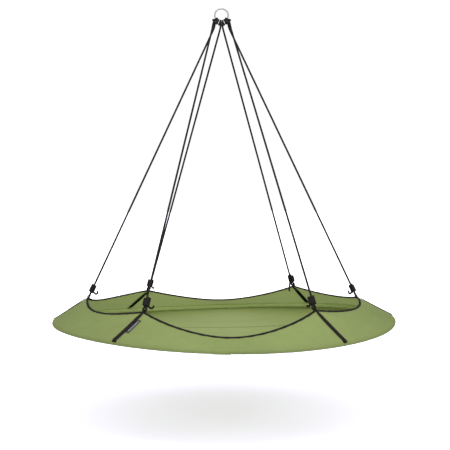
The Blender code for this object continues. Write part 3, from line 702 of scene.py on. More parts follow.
def top_rz(panel, deg):
    """Radius and height of the scalloped top edge."""
    start, end, wide = span(panel)
    s = (2 * deg - start - end) / (end - start)
    if wide:
        flat = np.sqrt(s * s + WIDE_ROUND ** 2) - WIDE_ROUND
        dip = 1 - flat / (math.sqrt(1 + WIDE_ROUND ** 2) - WIDE_ROUND)
        mid_r, mid_h = WIDE_R, WIDE_H
    else:
        dip = 1 - s * s
        mid_r, mid_h = NARROW_R, NARROW_H
    after = (panel + 1) % 6
    end_h = CORNER_H[panel] + (CORNER_H[after] - CORNER_H[panel]) * (s + 1) / 2
    end_r = CORNER_R[panel] + (CORNER_R[after] - CORNER_R[panel]) * (s + 1) / 2
    return end_r + (mid_r - end_r) * dip, -RIM_DROP + end_h + (mid_h - end_h) * dip


def wall_frame(panel, deg):
    """rz of the wall's base and top, its upward direction and its outward normal."""
    deg = np.asarray(deg, float)
    top_r, top_z = top_rz(panel, deg)
    tube_z = rim_z(deg)
    ang = np.arctan2(top_z - tube_z, RIM_R - top_r)
    for _ in range(8):      # the base is where the wall leaves the tube at a tangent
        base_r = RIM_R + WALL_LIFT * np.sin(ang)
        base_z = tube_z + WALL_LIFT * np.cos(ang)
        ang = np.arctan2(top_z - base_z, base_r - top_r)
    base = np.stack([base_r, base_z], -1)
    top = np.stack([top_r, top_z], -1)
    rise = np.stack([-np.cos(ang), np.sin(ang)], -1)
    normal = np.stack([np.sin(ang), np.cos(ang)], -1)
    return base, top, rise, normal


def lean(panel, deg):
    """Degrees the panel is turned at its base, so its side edges lean as the straps do."""
    start, end, _ = span(panel)
    t = (deg - start) / (end - start)
    return STRAP_SKEW[panel] * (1 - t) + STRAP_SKEW[(panel + 1) % 6] * t


def wall_patch(panel, deg, heights):
    """Middle surface at angles deg and heights 0..1: points, outward normals, lengths."""
    slanted = deg[:, None] + lean(panel, deg[:, None]) * (1 - heights[None, :])
    base, top, rise, normal = wall_frame(panel, slanted)
    reach = top - rise * 0.0012 - base
    points = turned(slanted, base + reach * heights[None, :, None])
    return points, turned(slanted, normal), np.linalg.norm(reach, axis=-1).mean(1)


def wall_relief(panel, points, deg, heights, length):
    """Soft folds: fans of tension from each corner, puckers at the edge tape and sleeve seam."""
    start, end, _ = span(panel)
    arc = np.radians(deg)[:, None] * 0.84
    up = heights[None, :] * length[:, None]
    down = (1 - heights[None, :]) * length[:, None]
    relief = np.zeros(points.shape[:2])
    clear = np.ones(points.shape[:2])
    for k, corner in enumerate((start, end)):
        side = np.abs(np.radians(deg - corner))[:, None] * 0.80
        away = np.hypot(side, down) + 1e-6
        fan = np.arctan2(side, down)
        depth = 0.0016 * np.exp(-away / 0.16) * ease(away / 0.05)
        relief += depth * np.sin(7.0 * fan + 1.3 * panel + 2.0 * k) * ease(fan / 0.25)
        clear *= ease((side - 0.016) / 0.02)    # flat under the straps
    # broad and finer swells
    relief += 0.0011 * fold_noise(points * 6.0 + 11.3)
    relief += 0.0005 * pucker_noise(points * np.array([21.0, 21.0, 9.0]) + 4.1)
    # puckers along the top, then along the base
    relief += 0.0008 * np.exp(-down / 0.016) * np.sin(2 * PI * arc / 0.057 + panel)
    relief += 0.0006 * np.exp(-up / 0.014) * pucker_noise.at(arc * 34, 0.0, panel)
    relief *= ease(up / 0.004) * ease((down - 0.002) / 0.008) * clear
    return relief


# ------------------------------------------------------------------ walls
# the flap panel leaves the tube bare between these angles
BARE_FROM = RIM_JOINT_DEG - FLAP_HALF_DEG - 0.12
BARE_TO = RIM_JOINT_DEG + FLAP_HALF_DEG + 0.12


def wall_stations(panel):
    start, end, wide = span(panel)
    first, last = start + WALL_CUT_DEG, end - WALL_CUT_DEG
    if panel != FLAP_PANEL:
        return np.linspace(first, last, 145 if wide else 109)
    # stations meet the flap's two sides
    low = BARE_FROM - lean(panel, BARE_FROM)
    high = BARE_TO - lean(panel, BARE_TO)
    return np.concatenate([np.linspace(first, low - 0.05, 60), np.linspace(low, high, 14),
                           np.linspace(high + 0.05, last, 72)])


def make_wall(panel):
    deg = wall_stations(panel)
    heights = np.concatenate([np.linspace(0, 0.12, 7)[:-1], np.linspace(0.12, 0.9, 26)[:-1],
                              np.linspace(0.9, 1.0, 8)])
    points, normals, length = wall_patch(panel, deg, heights)
    relief = wall_relief(panel, points, deg, heights, length)
    points = points + normals * relief[..., None]
    # the part wrapped round the rim, thinning to a hem
    foot = (deg + lean(panel, deg))[:, None]
    normal = wall_frame(panel, foot[:, 0])[3]
    leave = np.degrees(np.arctan2(normal[:, 1], normal[:, 0]))[:, None]
    hem = np.linspace(1, 0, 13)[None, :-1]      # 1 at the hem, towards 0 at the wall
    phi = WRAP_LOW + (leave - WRAP_LOW) * (1 - hem)
    if panel == FLAP_PANEL:
        bare = (foot > BARE_FROM - 0.01) & (foot < BARE_TO + 0.01)
        phi = np.where(bare, leave - 3.0 * hem, phi)
    arc = foot * (PI / 180) * RIM_R
    ruck = 0.00028 * ease(hem / 0.5) * pucker_noise.at(arc * 40, phi * 0.03)
    radius = SLEEVE_OUT + GAP + (0.00075 - 0.00035 * hem)
    wrap = rim_point(foot, radius + np.clip(ruck, -0.0001, 0.0004), phi)
    outward = wrap - rim_point(foot, 0.0, phi)
    outward = outward / np.linalg.norm(outward, axis=-1)[..., None]
    half = np.concatenate([np.broadcast_to(0.0003 + 0.0003 * (1 - hem), phi.shape),
                           np.full(points.shape[:2], FABRIC / 2)], 1)
    points = np.concatenate([wrap, points], 1)
    offset = np.concatenate([outward, normals], 1) * half[..., None]
    up = np.concatenate([-np.radians(leave - phi) * SLEEVE_OUT,
                         heights[None, :] * length[:, None]], 1)
    across = np.broadcast_to(np.radians(deg)[:, None] * 0.86, up.shape)
    ob = sheet_object("wall_cloth_%d" % (panel + 1), points + offset, points - offset,
                      np.stack([across, up], -1), M_WALL, flip=True)
    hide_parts("wall_panel_%d" % (panel + 1))
    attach(ob, "sling")


TAPE_T = 0.00085            # thickness of the tape
TAPE_OFF = 0.00085          # its inner face from the wall's middle surface
TAPE_SLOT = 0.0030          # depth from the edge to the bottom of the slot
PUCKER_LONG, PUCKER_SHORT = 0.057, 0.023


def make_binding(panel):
    """Tape folded over a cord along the scalloped edge, slightly wavy along its length."""
    start, end, wide = span(panel)
    deg = np.linspace(start + 0.04, end - 0.04, 300 if wide else 224)
    _, tops, rises, normals = wall_frame(panel, deg)
    arc = np.radians(deg) * 0.80
    long_wave = np.sin(2 * PI * arc / PUCKER_LONG + 0.8 * panel)
    short_wave = np.sin(2 * PI * arc / PUCKER_SHORT + 1.7 * panel)
    loops = []
    for angle, top, rise, normal, wave, ripple in zip(deg, tops, rises, normals,
                                                      long_wave, short_wave):
        cord = top + rise * 0.0004
        cord_r = 0.0043 + 0.00018 * wave + 0.00010 * ripple
        outer = 0.0084 + 0.0008 * wave      # depths of the two sides of the fold
        inner = 0.0066 - 0.0009 * wave
        roll = 0.10 * wave
        rolled_n = normal * math.cos(roll) + rise * math.sin(roll)
        rolled_w = rise * math.cos(roll) - normal * math.sin(roll)

        def at(depth, off):
            return top - rise * depth + normal * off

        def round_cord(k):
            a = math.radians(-32 + 244 * k / 8)
            return cord + cord_r * (math.cos(a) * rolled_n + math.sin(a) * rolled_w)

        # outer side, round over the cord, inner side, then back through the slot
        section = [at(outer, TAPE_OFF + 0.0001),
                   at(outer, TAPE_OFF + TAPE_T),
                   at(outer * 0.62, TAPE_OFF + TAPE_T + 0.0003)]
        section += [round_cord(k) for k in range(9)]
        section += [at(inner * 0.62, -(TAPE_OFF + TAPE_T + 0.0003)),
                    at(inner, -(TAPE_OFF + TAPE_T)),
                    at(inner, -(TAPE_OFF + 0.0001)),
                    at(TAPE_SLOT, -(TAPE_OFF - 0.0001)),
                    at(TAPE_SLOT, TAPE_OFF - 0.0001)]
        loops.append(turned(angle, section))
    ob = tube_object("edge_tape_%d" % (panel + 1), np.array(loops)[:, ::-1], M_BIND,
                     arc - arc[0], turn_len=0.030)
    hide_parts("edge_binding_%d" % (panel + 1))
    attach(ob, "sling")


# ------------------------------------------------------------------ sleeve and flap
def make_sleeve():
    start = RIM_JOINT_DEG + SLEEVE_GAP_DEG
    end = RIM_JOINT_DEG + 360 - SLEEVE_GAP_DEG
    count, sides = 900, 26
    size = count * sides
    deg = np.linspace(start, end, count)
    station = deg[:, None]
    phi = (360.0 * (np.arange(sides) + 0.5) / sides)[None, :]
    plain = rim_point(station, SLEEVE_OUT, phi)
    arc = np.radians(station) * RIM_R
    # puckers are deepest along two lines round the tube, where seams run
    seam = np.exp(-((phi - 68) / 16) ** 2) + np.exp(-((phi - 322) / 14) ** 2)
    relief = (0.00030 * fold_noise(plain * np.array([38, 38, 60]) + 2.2)
              + 0.00040 * seam * pucker_noise.at(arc * 42, phi * 0.02))
    outer = rim_point(station, SLEEVE_OUT + np.clip(relief, -0.0006, 0.00035), phi)
    inner = rim_point(station, SLEEVE_OUT - 0.0011, phi)
    # smooth at the two ends
    keep = ease(np.minimum(deg - start, end - deg) / 0.15)[:, None, None]
    outer = outer * keep + rim_point(station, SLEEVE_OUT - 0.0003, phi) * (1 - keep)
    quads_out, cells_out = grid_faces(count, sides, wrap_cols=True, flip=True)
    quads_in, cells_in = grid_faces(count, sides, wrap_cols=True, base=size)
    uv = [np.stack([np.radians(deg)[cells[..., 0]] * RIM_R,
                    cells[..., 1] / sides * 2 * PI * SLEEVE_OUT], -1)
          for cells in (cells_out, cells_in)]
    here = np.arange(sides)
    after = (here + 1) % sides
    first_end = np.stack([here, after, size + after, size + here], 1)
    last = (count - 1) * sides
    last_end = np.stack([after, here, size + here, size + after], 1) + last
    ob = mesh_object("sleeve_cloth", np.concatenate([outer.reshape(-1, 3), inner.reshape(-1, 3)]),
                     [quads_out, quads_in, first_end, last_end], M_SLEEVE, uv + [None, None])
    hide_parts("rim_sleeve")
    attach(ob, "sling")


def make_flap():
    count, rows = 60, 30
    deg = np.linspace(RIM_JOINT_DEG - FLAP_HALF_DEG, RIM_JOINT_DEG + FLAP_HALF_DEG, count)
    station = deg[:, None]
    phi = np.linspace(FLAP_TOP_DEG, FLAP_LOW_DEG, rows)[None, :]
    plain = rim_point(station, SLEEVE_OUT + 0.0006, phi)
    # a raised hem along both sides and the low end
    from_side = np.minimum(station - deg[0], deg[-1] - station) / FLAP_HALF_DEG
    from_edge = np.minimum(from_side, (phi - FLAP_LOW_DEG) / 40)
    hem = 0.0005 * (1 - ease((from_edge - 0.02) / 0.10))
    relief = 0.0003 * fold_noise(plain * 60 + 7) + hem
    outer = rim_point(station, SLEEVE_OUT + GAP + 0.0014 + relief, phi)
    inner = rim_point(station, SLEEVE_OUT + GAP + 0.0002, phi)
    grid_uv = np.stack(np.broadcast_arrays(np.radians(station) * RIM_R,
                                           np.arange(rows) / rows * 0.033), -1)
    ob = sheet_object("flap_cloth", outer, inner, grid_uv, M_WALL)
    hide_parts("access_flap")
    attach(ob, "access_flap_body")
    # stitches down both sides and along the low end
    radius = SLEEVE_OUT + GAP + 0.0021
    left, right = deg[0] + 0.22, deg[-1] - 0.22
    down = np.linspace(FLAP_TOP_DEG - 6, FLAP_LOW_DEG + 8, 30)
    runs = [rim_run(left, radius, down), rim_run(right, radius, down),
            rim_run(np.linspace(left, right, 60), radius, FLAP_LOW_DEG + 8)]
    stitch_object("flap_stitching", runs, M_THREAD, "access_flap_body")


# ------------------------------------------------------------------ deck
def deck_surface(deg, share):
    """Middle surface of the deck at angles deg and shares 0..1 of its radius, with folds."""
    a = np.radians(deg)
    r = DECK_R * share
    z = (-RIM_DROP - DECK_DROP + (rim_z(deg) + RIM_DROP) * share * share
         - DECK_SAG * (1 - share * share))
    points = np.stack([r * np.cos(a), r * np.sin(a), z], -1)
    relief = 0.0022 * fold_noise(points * 3.1 + 5.0) + 0.0009 * pucker_noise(points * 9.0 + 1.0)
    # puckers round the edge, then a trough along the middle seam
    arc = a * 0.88
    relief = relief + (0.0012 * np.exp(-(1 - share) * 0.886 / 0.05)
                       * np.sin(2 * PI * arc / 0.085 + 1.5 * fold_noise.at(arc * 3)))
    relief = relief - 0.0012 * np.exp(-np.abs(points[..., 1]) / 0.03)
    points[..., 2] += relief * ease((1 - share) / 0.012)
    return points


def make_deck(half, start_deg, side):
    """Half of the deck; side is +1 for the +Y half and -1 for the -Y half."""
    deg = start_deg + np.linspace(0, 180, 181)
    share = np.concatenate([np.linspace(0.012, 0.9, 60)[:-1], np.linspace(0.9, 1.0, 16)])
    points = deck_surface(deg[:, None], share[None, :])
    centre = deck_surface(np.array([start_deg]), np.array([0.0]))[0]
    points[..., 1] += side * 0.0002
    centre[1] += side * 0.0002
    rows, cols = points.shape[:2]
    size = rows * cols
    up = np.array([0, 0, FABRIC / 2])
    verts = np.concatenate([(points + up).reshape(-1, 3), (points - up).reshape(-1, 3),
                            [centre + up, centre - up]])
    quads_top, cells_top = grid_faces(rows, cols, flip=True)
    quads_low, cells_low = grid_faces(rows, cols, base=size)
    centre_top, centre_low = 2 * size, 2 * size + 1
    k = np.arange(rows - 1)
    fan_top = np.stack([np.full(rows - 1, centre_top), k * cols, (k + 1) * cols], 1)
    fan_low = np.stack([np.full(rows - 1, centre_low), size + (k + 1) * cols, size + k * cols], 1)
    index = np.arange(size).reshape(rows, cols)
    border = np.concatenate([index[0], index[1:, -1], index[-1, -2::-1]])
    edge = edge_quads(np.append(centre_top, border), np.append(centre_low, border + size))
    uv = [points[cells[..., 0], cells[..., 1], :2] for cells in (cells_top, cells_low)]
    ob = mesh_object("deck_cloth_" + half, verts,
                     [quads_top, quads_low, fan_top, fan_low, edge[:, ::-1]], M_DECK,
                     uv + [None, None, None])
    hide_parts("deck_panel_" + half)
    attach(ob, "sling")


# half cross section of the seam strip's upper side: y, height above the deck cloth
SEAM_SECTION = ((-0.0075, 0.0004), (-0.0066, 0.0013), (-0.0030, 0.0017), (0.0, 0.0016),
                (0.0030, 0.0017), (0.0066, 0.0013), (0.0075, 0.0004))
SEAM_UNDER = ((0.0070, 0.0002), (0.0, 0.0002), (-0.0070, 0.0002))


def deck_line(y, lift):
    """A line across the deck at constant y, lifted above its cloth."""
    half = math.sqrt(DECK_R * DECK_R - y * y) - 0.004
    x = np.linspace(-half, half, 420)
    points = deck_surface(np.degrees(np.arctan2(y, x)), np.hypot(x, y) / DECK_R)
    points[:, 2] += FABRIC / 2 + lift
    return points


def make_deck_seam():
    """The lapped seam across the middle: a folded strip with two rows of stitches."""
    loops = np.stack([deck_line(y, lift) for y, lift in SEAM_SECTION + SEAM_UNDER], 1)
    moves = np.linalg.norm(np.diff(loops[:, 3], axis=0), axis=1)
    along = np.concatenate([[0], np.cumsum(moves)])
    ob = tube_object("deck_seam", loops[:, ::-1], M_DECK, along, turn_len=0.032)
    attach(ob, "sling")
    lines = [deck_line(y, 0.0018) for y in (-0.0048, 0.0048)]
    runs = [(line, np.broadcast_to([0, 0, 1.0], line.shape)) for line in lines]
    stitch_object("deck_seam_stitching", runs, M_THREAD, "sling")


# ------------------------------------------------------------------ corners and ropes
def hitch_frame(hitch):
    """Point on the ring's wire centre, the direction out of the ring, and along the ring."""
    a = math.radians(HITCH_DEG[hitch])
    out = np.array([math.cos(a), 0, math.sin(a)])
    along = np.array([-math.sin(a), 0, math.cos(a)])
    return RING_CENTRE + out * RING_MEAN_R, out, along


def leg_top(corner):
    hitch = next(h for h in range(3) if corner in HITCH_LEGS[h])
    centre, out, _ = hitch_frame(hitch)
    x = (centre + out * HITCH_OUT)[0]
    apart = LEG_APART if corner == HITCH_LEGS[hitch][1] else -LEG_APART
    return np.array([x + apart, 0.0, BEND_Z])


def corner_setup(corner):
    """How a rope leaves a wall corner: its loop's centre, its direction and its two strands."""
    deg = CORNERS[corner]
    a = math.radians(deg)
    tip = np.array([CORNER_R[corner], -RIM_DROP + CORNER_H[corner]])
    _, _, rise, normal = wall_frame(corner, deg)
    side = np.array([-math.sin(a), math.cos(a), 0])
    radial = np.array([math.cos(a), math.sin(a), 0])
    sign = 1.0 if corner in (1, 3, 5) else -1.0
    top = leg_top(corner)
    up = unit(top - turned(deg, tip))
    for _ in range(4):      # direction and strand offset depend on each other
        up_rz = unit([up.dot(radial), up[2]])
        loop = turned(deg, tip + unit(rise + up_rz) * LOOP_RISE)
        across = unit(side - side.dot(up) * up) * sign
        up = unit(top - (loop + across * STRAND))
    across = unit(side - side.dot(up) * up) * sign
    return SimpleNamespace(tip=tip, rise=rise, normal=normal, loop=loop, up=up, up_rz=up_rz,
                           across=across, top=top)


SETUP = [corner_setup(corner) for corner in range(6)]

LOOP_HALF = 0.0100          # half width of the rope loop
LOOP_DEPTH = 0.0072
LOOP_POWER = 2.6            # how square the loop's bottom is


def leg_points(corner):
    """From the bend point down, through the knot, round the loop and up into the knot."""
    s = SETUP[corner]
    # (across, up) from the loop's centre
    down = [(STRAND, KNOT_LOW + KNOT_LEN + 0.01), (STRAND, KNOT_LOW + 0.02),
            (STRAND, KNOT_LOW + 0.002), (STRAND, KNOT_LOW - 0.0015),
            (STRAND + 0.0015, 0.0160), (0.0085, 0.0110)]
    bottom = []
    for k in range(13):
        x = LOOP_HALF * math.cos(PI * k / 12)
        bow = (1 - abs(x / LOOP_HALF) ** LOOP_POWER) ** (1 / LOOP_POWER)
        bottom.append((x, LOOP_DEPTH * (1 - bow)))
    back_up = [(-x, h) for x, h in reversed(down[2:])]
    back_up += [(-STRAND, KNOT_LOW + 0.02), (-STRAND, KNOT_LOW + KNOT_LEN - 0.004)]
    curve = spline([s.loop + s.across * x + s.up * h for x, h in down + bottom + back_up], 6)
    straight = s.top + (curve[0] - s.top) * np.linspace(0, 1, 40)[:-1, None]
    return np.vstack([straight, curve])


# half of a lark's head on the ring, from the leg to the middle, in three parts
# entering behind the ring: along the ring, out of it, towards the front
HITCH_ENTRY = ((0.0050, 0.0170, 0.0024), (0.0051, 0.0095, 0.0066))
# round the wire: along the ring, angle round the wire
HITCH_ROUND = ((0.0055, 285), (0.0055, 240), (0.0055, 205), (0.0055, 170), (0.0058, 130),
               (0.0072, 95), (0.0096, 60), (0.0126, 25))
# over the front of the legs, columns as for the entry
HITCH_FRONT = ((0.0141, 0.0110, 0.0040), (0.0134, 0.0150, 0.0100), (0.0085, 0.0162, 0.0140),
               (0.0040, 0.0164, 0.0152))


def hitch_points(hitch):
    """The lark's head round the ring, as its +along half and the mirrored half."""
    centre, out, along = hitch_frame(hitch)
    front = np.array([0, -1.0, 0])
    radius = RING_WIRE_R + ROPE_R + GAP + 0.0009

    def offset(x, outward, forward):
        return centre + along * x + out * outward + front * forward

    half = [offset(*row) for row in HITCH_ENTRY]
    half += [offset(x, radius * math.cos(math.radians(phi)), -radius * math.sin(math.radians(phi)))
             for x, phi in HITCH_ROUND]
    half += [offset(*row) for row in HITCH_FRONT]
    mirrored = [p - along * (2 * (p - centre).dot(along)) for p in reversed(half)]
    return half, mirrored


def make_rope(hitch):
    """One rope folded over the ring: leg, lark's head, leg."""
    minus, plus = HITCH_LEGS[hitch]
    half, mirrored = hitch_points(hitch)

    def lead(corner):
        """The bend under the hitch, rounded so the leg leaves straight up."""
        top, up = SETUP[corner].top, SETUP[corner].up
        return [top - up * 0.030, top - up * 0.012 + np.array([0, 0, 0.0006]),
                top + np.array([0, 0, 0.0052])]

    def leg_up(corner):
        """The leg from its loose end up to where the lead begins."""
        points = leg_points(corner)
        return points[np.linalg.norm(points - SETUP[corner].top, axis=1) > 0.031]

    middle = spline(lead(plus) + half + mirrored + lead(minus)[::-1], 10)
    path = np.vstack([leg_up(plus)[::-1], middle, leg_up(minus)])
    name = HITCH_NAMES[hitch]
    ob = rope_object("rope_" + name, path, step=0.0013, passes=3, radius=ROPE_R + 0.0011,
                     side=(0.3, 1, 0.2))
    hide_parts("hitch_" + name, "rope_leg_%d" % (plus + 1), "rope_leg_%d" % (minus + 1))
    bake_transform(ob)


# tail paths from the knot's foot, one row per corner, millimetres: right, back, up
TAILS_MM = (
    ((-6, 0, 5), (-14, -2, 3), (-20, -3, -6), (-26, -4, -8), (-31, -4, -1), (-31, -4, 10)),
    ((-5, -5, 5), (-12, -10, 3), (-16, -16, -8), (-18, -20, -24), (-20, -22, -40),
     (-19, -23, -54)),
    ((5, -5, 5), (12, -10, 3), (18, -15, -6), (24, -18, -10), (29, -20, -4)),
    ((6, 0, 5), (14, -2, 2), (22, -3, -7), (30, -4, -9), (36, -4, -2), (35, -4, 8)),
    ((5, 5, 5), (12, 9, 2), (20, 12, -7), (29, 14, -11), (36, 15, -6), (40, 15, 3)),
    ((-5, 5, 5), (-12, 10, 2), (-18, 14, -7), (-24, 17, -10), (-29, 19, -3)),
)


def make_knot(corner):
    """Turns of rope wound down round both strands, ending in a short curled tail."""
    s = SETUP[corner]
    third = np.cross(s.across, s.up)
    foot = s.loop + s.up * KNOT_LOW
    wrap_r = 2 * ROPE_R + 0.0020
    turns = KNOT_WRAPS - 0.55
    pitch = (KNOT_LEN - 2 * ROPE_R) / turns
    # the last turn ends on the side the tail leaves from
    first = unit(np.array(TAILS_MM[corner][0], float))
    first = unit(first - first.dot(s.up) * s.up)
    phase = math.atan2(first.dot(third), first.dot(s.across))
    count = int(turns * 40)
    points = []
    for k in range(count + 1):
        f = k / count
        ang = phase + 2 * PI * turns * (1 - f)
        height = ROPE_R + (1 - f) * turns * pitch
        radius = wrap_r * (1.0 + 0.03 * math.sin(PI * f))
        flat = math.copysign(STRAND, math.cos(ang)) * ease(abs(math.cos(ang)) * 3.0)
        x = radius * math.cos(ang) + flat
        y = radius * math.sin(ang)
        points.append(foot + s.up * height + s.across * x + third * y)
    tail = [foot + np.array(p, float) / 1000 for p in TAILS_MM[corner][1:]]
    # the spline's first span lies in the last turn and is left out
    path = np.vstack([points, spline([points[-6], points[-1]] + tail, 10)[12:]])
    ob = rope_object("knot_wraps_%d" % (corner + 1), path, step=0.0011, passes=4,
                     radius=ROPE_R + 0.0009, side=s.up)
    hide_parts("noose_knot_%d" % (corner + 1))
    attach(ob, "knot_%d" % (corner + 1))


# ------------------------------------------------------------------ straps
def strap_line(corner, height):
    """Angle of the strap's centre line at a fraction of its height, and its sideways direction."""
    deg = CORNERS[corner] + STRAP_SKEW[corner] * (1 - height)
    a = math.radians(deg)
    slope = (2 * RIM_TWIST * math.cos(2 * a) - 2 * RIM_SADDLE * math.sin(2 * a)) / RIM_R
    return deg, unit([-math.sin(a), math.cos(a), slope * (1 - height)])


def strap_frame(corner, height):
    """The wall under a strap: angle, base, rise, normal, length, sideways direction."""
    deg, side = strap_line(corner, height)
    panel = corner if STRAP_SKEW[corner] >= 0 else (corner - 1) % 6
    base, top, rise, normal = wall_frame(panel, deg)
    return deg, base, rise, normal, np.linalg.norm(top - base), side


# strap runs on the wall: height fraction, extra stand-off, share of full width, gather 0..1
STRAP_OUTER = ((0.0, 0.0005, 1.0, 0), (0.12, 0.0003, 1.0, 0), (0.35, 0.0003, 1.0, 0.05),
               (0.62, 0.0003, 0.97, 0.2), (0.80, 0.0006, 0.84, 0.6))
STRAP_INNER = ((0.80, 0.0018, 0.78, 0.6), (0.62, 0.0014, 0.95, 0.2), (0.35, 0.0006, 1.0, 0.05),
               (0.10, 0.0, 1.0, 0))
# gathered necks on both sides of the corner: distance down the wall, extra stand-off
NECK_OUTER = ((0.0165, 0.0027), (0.0085, 0.0045), (0.0030, 0.0046))
NECK_INNER = ((0.0040, 0.0032), (0.0095, 0.0036), (0.0190, 0.0028))
OVER_LOOP_DEG = (-8, 20, 50, 90, 130, 160, 188)
FOOT_LOW_DEG = 12           # the outer foot starts at this angle round the rim tube
# gather and height are scaled down along the curve, so that they add little to its length
STRAP_SCALE = 0.01


def strap_path(corner):
    """(r, z, half width, gather, height fraction) along the strap, outer foot to inner foot."""
    s = SETUP[corner]
    loop = s.tip + unit(s.rise + s.up_rz) * LOOP_RISE
    out = np.array([s.up_rz[1], -s.up_rz[0]])
    off = FABRIC / 2 + GAP + STRAP_T / 2
    rows = []

    def put(rz, width, gather, height):
        rows.append([rz[0], rz[1], width, gather, height])

    def on_wall(table, stand_off, sign):
        for height, extra, share, gather in table:
            _, base, rise, normal, length, _ = strap_frame(corner, height)
            rz = base + rise * (length * height) + sign * normal * (stand_off + extra)
            put(rz, STRAP_W * share, gather, height)

    def neck(table, stand_off, sign):
        for down, extra in table:
            rz = s.tip - s.rise * down + sign * s.normal * (stand_off + extra)
            put(rz, STRAP_NECK * (1.25 if down > 0.01 else 1.05), 1, 1)

    # the foot, round the outside of the rim
    deg, _, _, normal, _, _ = strap_frame(corner, 0.0)
    tube_z = float(rim_z(deg))
    sweep = math.degrees(math.atan2(normal[1], normal[0])) - 9 - FOOT_LOW_DEG
    for i in range(5):
        phi = math.radians(FOOT_LOW_DEG + sweep * i / 4)
        radius = SLEEVE_OUT + GAP + STRAP_T / 2 + 0.0006 + (0.0003 if i < 4 else 0.0008)
        put((RIM_R + radius * math.cos(phi), tube_z + radius * math.sin(phi)), STRAP_W, 0, 0)
    on_wall(STRAP_OUTER, off, 1)
    neck(NECK_OUTER, off, 1)
    for angle in map(math.radians, OVER_LOOP_DEG):
        turn = out * math.cos(angle) + s.up_rz * math.sin(angle)
        rz = loop + s.up_rz * 0.0012 + turn * (ROPE_R + 0.0005 + STRAP_T / 2)
        put(rz, STRAP_NECK, 1, 1)
    neck(NECK_INNER, off + 0.0016, -1)
    on_wall(STRAP_INNER, off + 0.0016, -1)
    return np.array(rows)


def make_strap(corner):
    raw = strap_path(corner)
    raw[:, 3:] *= STRAP_SCALE
    path, along = resample(spline(raw, 10), STRAP_STEP)
    centre, widths = path[:, :2], path[:, 2]
    gathers, heights = (np.clip(path[:, k] / STRAP_SCALE, 0, 1) for k in (3, 4))
    tangents = np.gradient(centre, axis=0)
    tangents /= np.linalg.norm(tangents, axis=1)[:, None]
    normals = np.stack([-tangents[:, 1], tangents[:, 0]], 1)
    # cross section: across is -1..1, denser at the edges, with thin rounded edges
    cols = 17
    across = np.linspace(-1, 1, cols)
    across = np.sign(across) * (1 - (1 - np.abs(across)) ** 1.25)
    edge = np.sqrt(np.clip(1 - np.clip((np.abs(across) - 0.88) / 0.12, 0, 1) ** 2, 0.12, 1))
    thick = STRAP_T / 2 * 0.92 * edge
    rib = 0.00010 * np.cos(across * PI * 7)
    fold = 0.00075 * np.cos(across * PI * 3.0)
    lines = [strap_line(corner, height) for height in heights]
    loops = []
    for rz, normal, width, gather, (deg, side) in zip(centre, normals, widths, gathers, lines):
        wave = fold * gather
        flat = 1 - gather
        # both faces are kept from swelling; the flat part is thicker on one face only
        face = np.minimum(thick + rib * flat + wave, STRAP_T / 2 + 0.0005) + (GAP + 0.0004) * flat
        back = np.maximum(-np.maximum(thick - wave, 0.0004), -STRAP_T / 2 - 0.0002)
        sideways = side * (across * width)[:, None]
        one, two = (turned(deg, rz + normal * z[:, None]) + sideways for z in (face, back))
        loops.append(np.vstack([one, two[::-1]]))
    loops = np.array(loops)
    count, sides = loops.shape[:2]
    quads, cells = grid_faces(count, sides, wrap_cols=True)
    round_x = np.concatenate([across, across[::-1], [across[0]]]) * STRAP_W
    uv = np.stack([round_x[cells[..., 1]] + STRAP_W, along[cells[..., 0]]], -1)
    caps = [np.array([[o + j, o + j + 1, o + sides - 2 - j, o + sides - 1 - j]
                      for j in range(cols - 1)]) for o in (0, (count - 1) * sides)]
    ob = mesh_object("strap_%d" % (corner + 1), loops, [quads] + caps, M_WEB, [uv, None, None])
    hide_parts("corner_strap_%d" % (corner + 1))
    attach(ob, "sling")

    # box stitching with a cross at the outer foot, then a row along each edge
    out_sign = 1.0 if normals[int(0.030 / STRAP_STEP)][0] > 0 else -1.0

    def run(stations):
        """A stitch run through (section, sideways) stations on the strap's outer face."""
        points, directions = [], []
        for i, x in stations:
            i = int(i)
            deg, side = lines[i]
            rz = centre[i] + normals[i] * (STRAP_T / 2) * out_sign
            points.append(turned(deg, rz) + side * x)
            directions.append(turned(deg, normals[i] * out_sign))
        return np.array(points), np.array(directions)

    low, high = int(0.003 / STRAP_STEP), int(0.026 / STRAP_STEP)
    e = STRAP_W - 0.0028
    box = ((low, -e, high, -e), (high, -e, high, e), (high, e, low, e), (low, e, low, -e),
           (low, -e, high, e), (low, e, high, -e))
    runs = [run([(i0 + (i1 - i0) * f, x0 + (x1 - x0) * f) for f in np.linspace(0, 1, 24)])
            for i0, x0, i1, x1 in box]
    edge_rows = np.arange(high + 1, int((along[-1] * 0.40) / STRAP_STEP), 2)
    for sign in (-1, 1):
        runs.append(run([(i, sign * (widths[i] - 0.0026)) for i in edge_rows]))
    stitch_object("strap_stitching_%d" % (corner + 1), runs, M_THREAD_BLACK,
                  "sling", length=0.0032, pitch=0.0045, radius=0.00038)


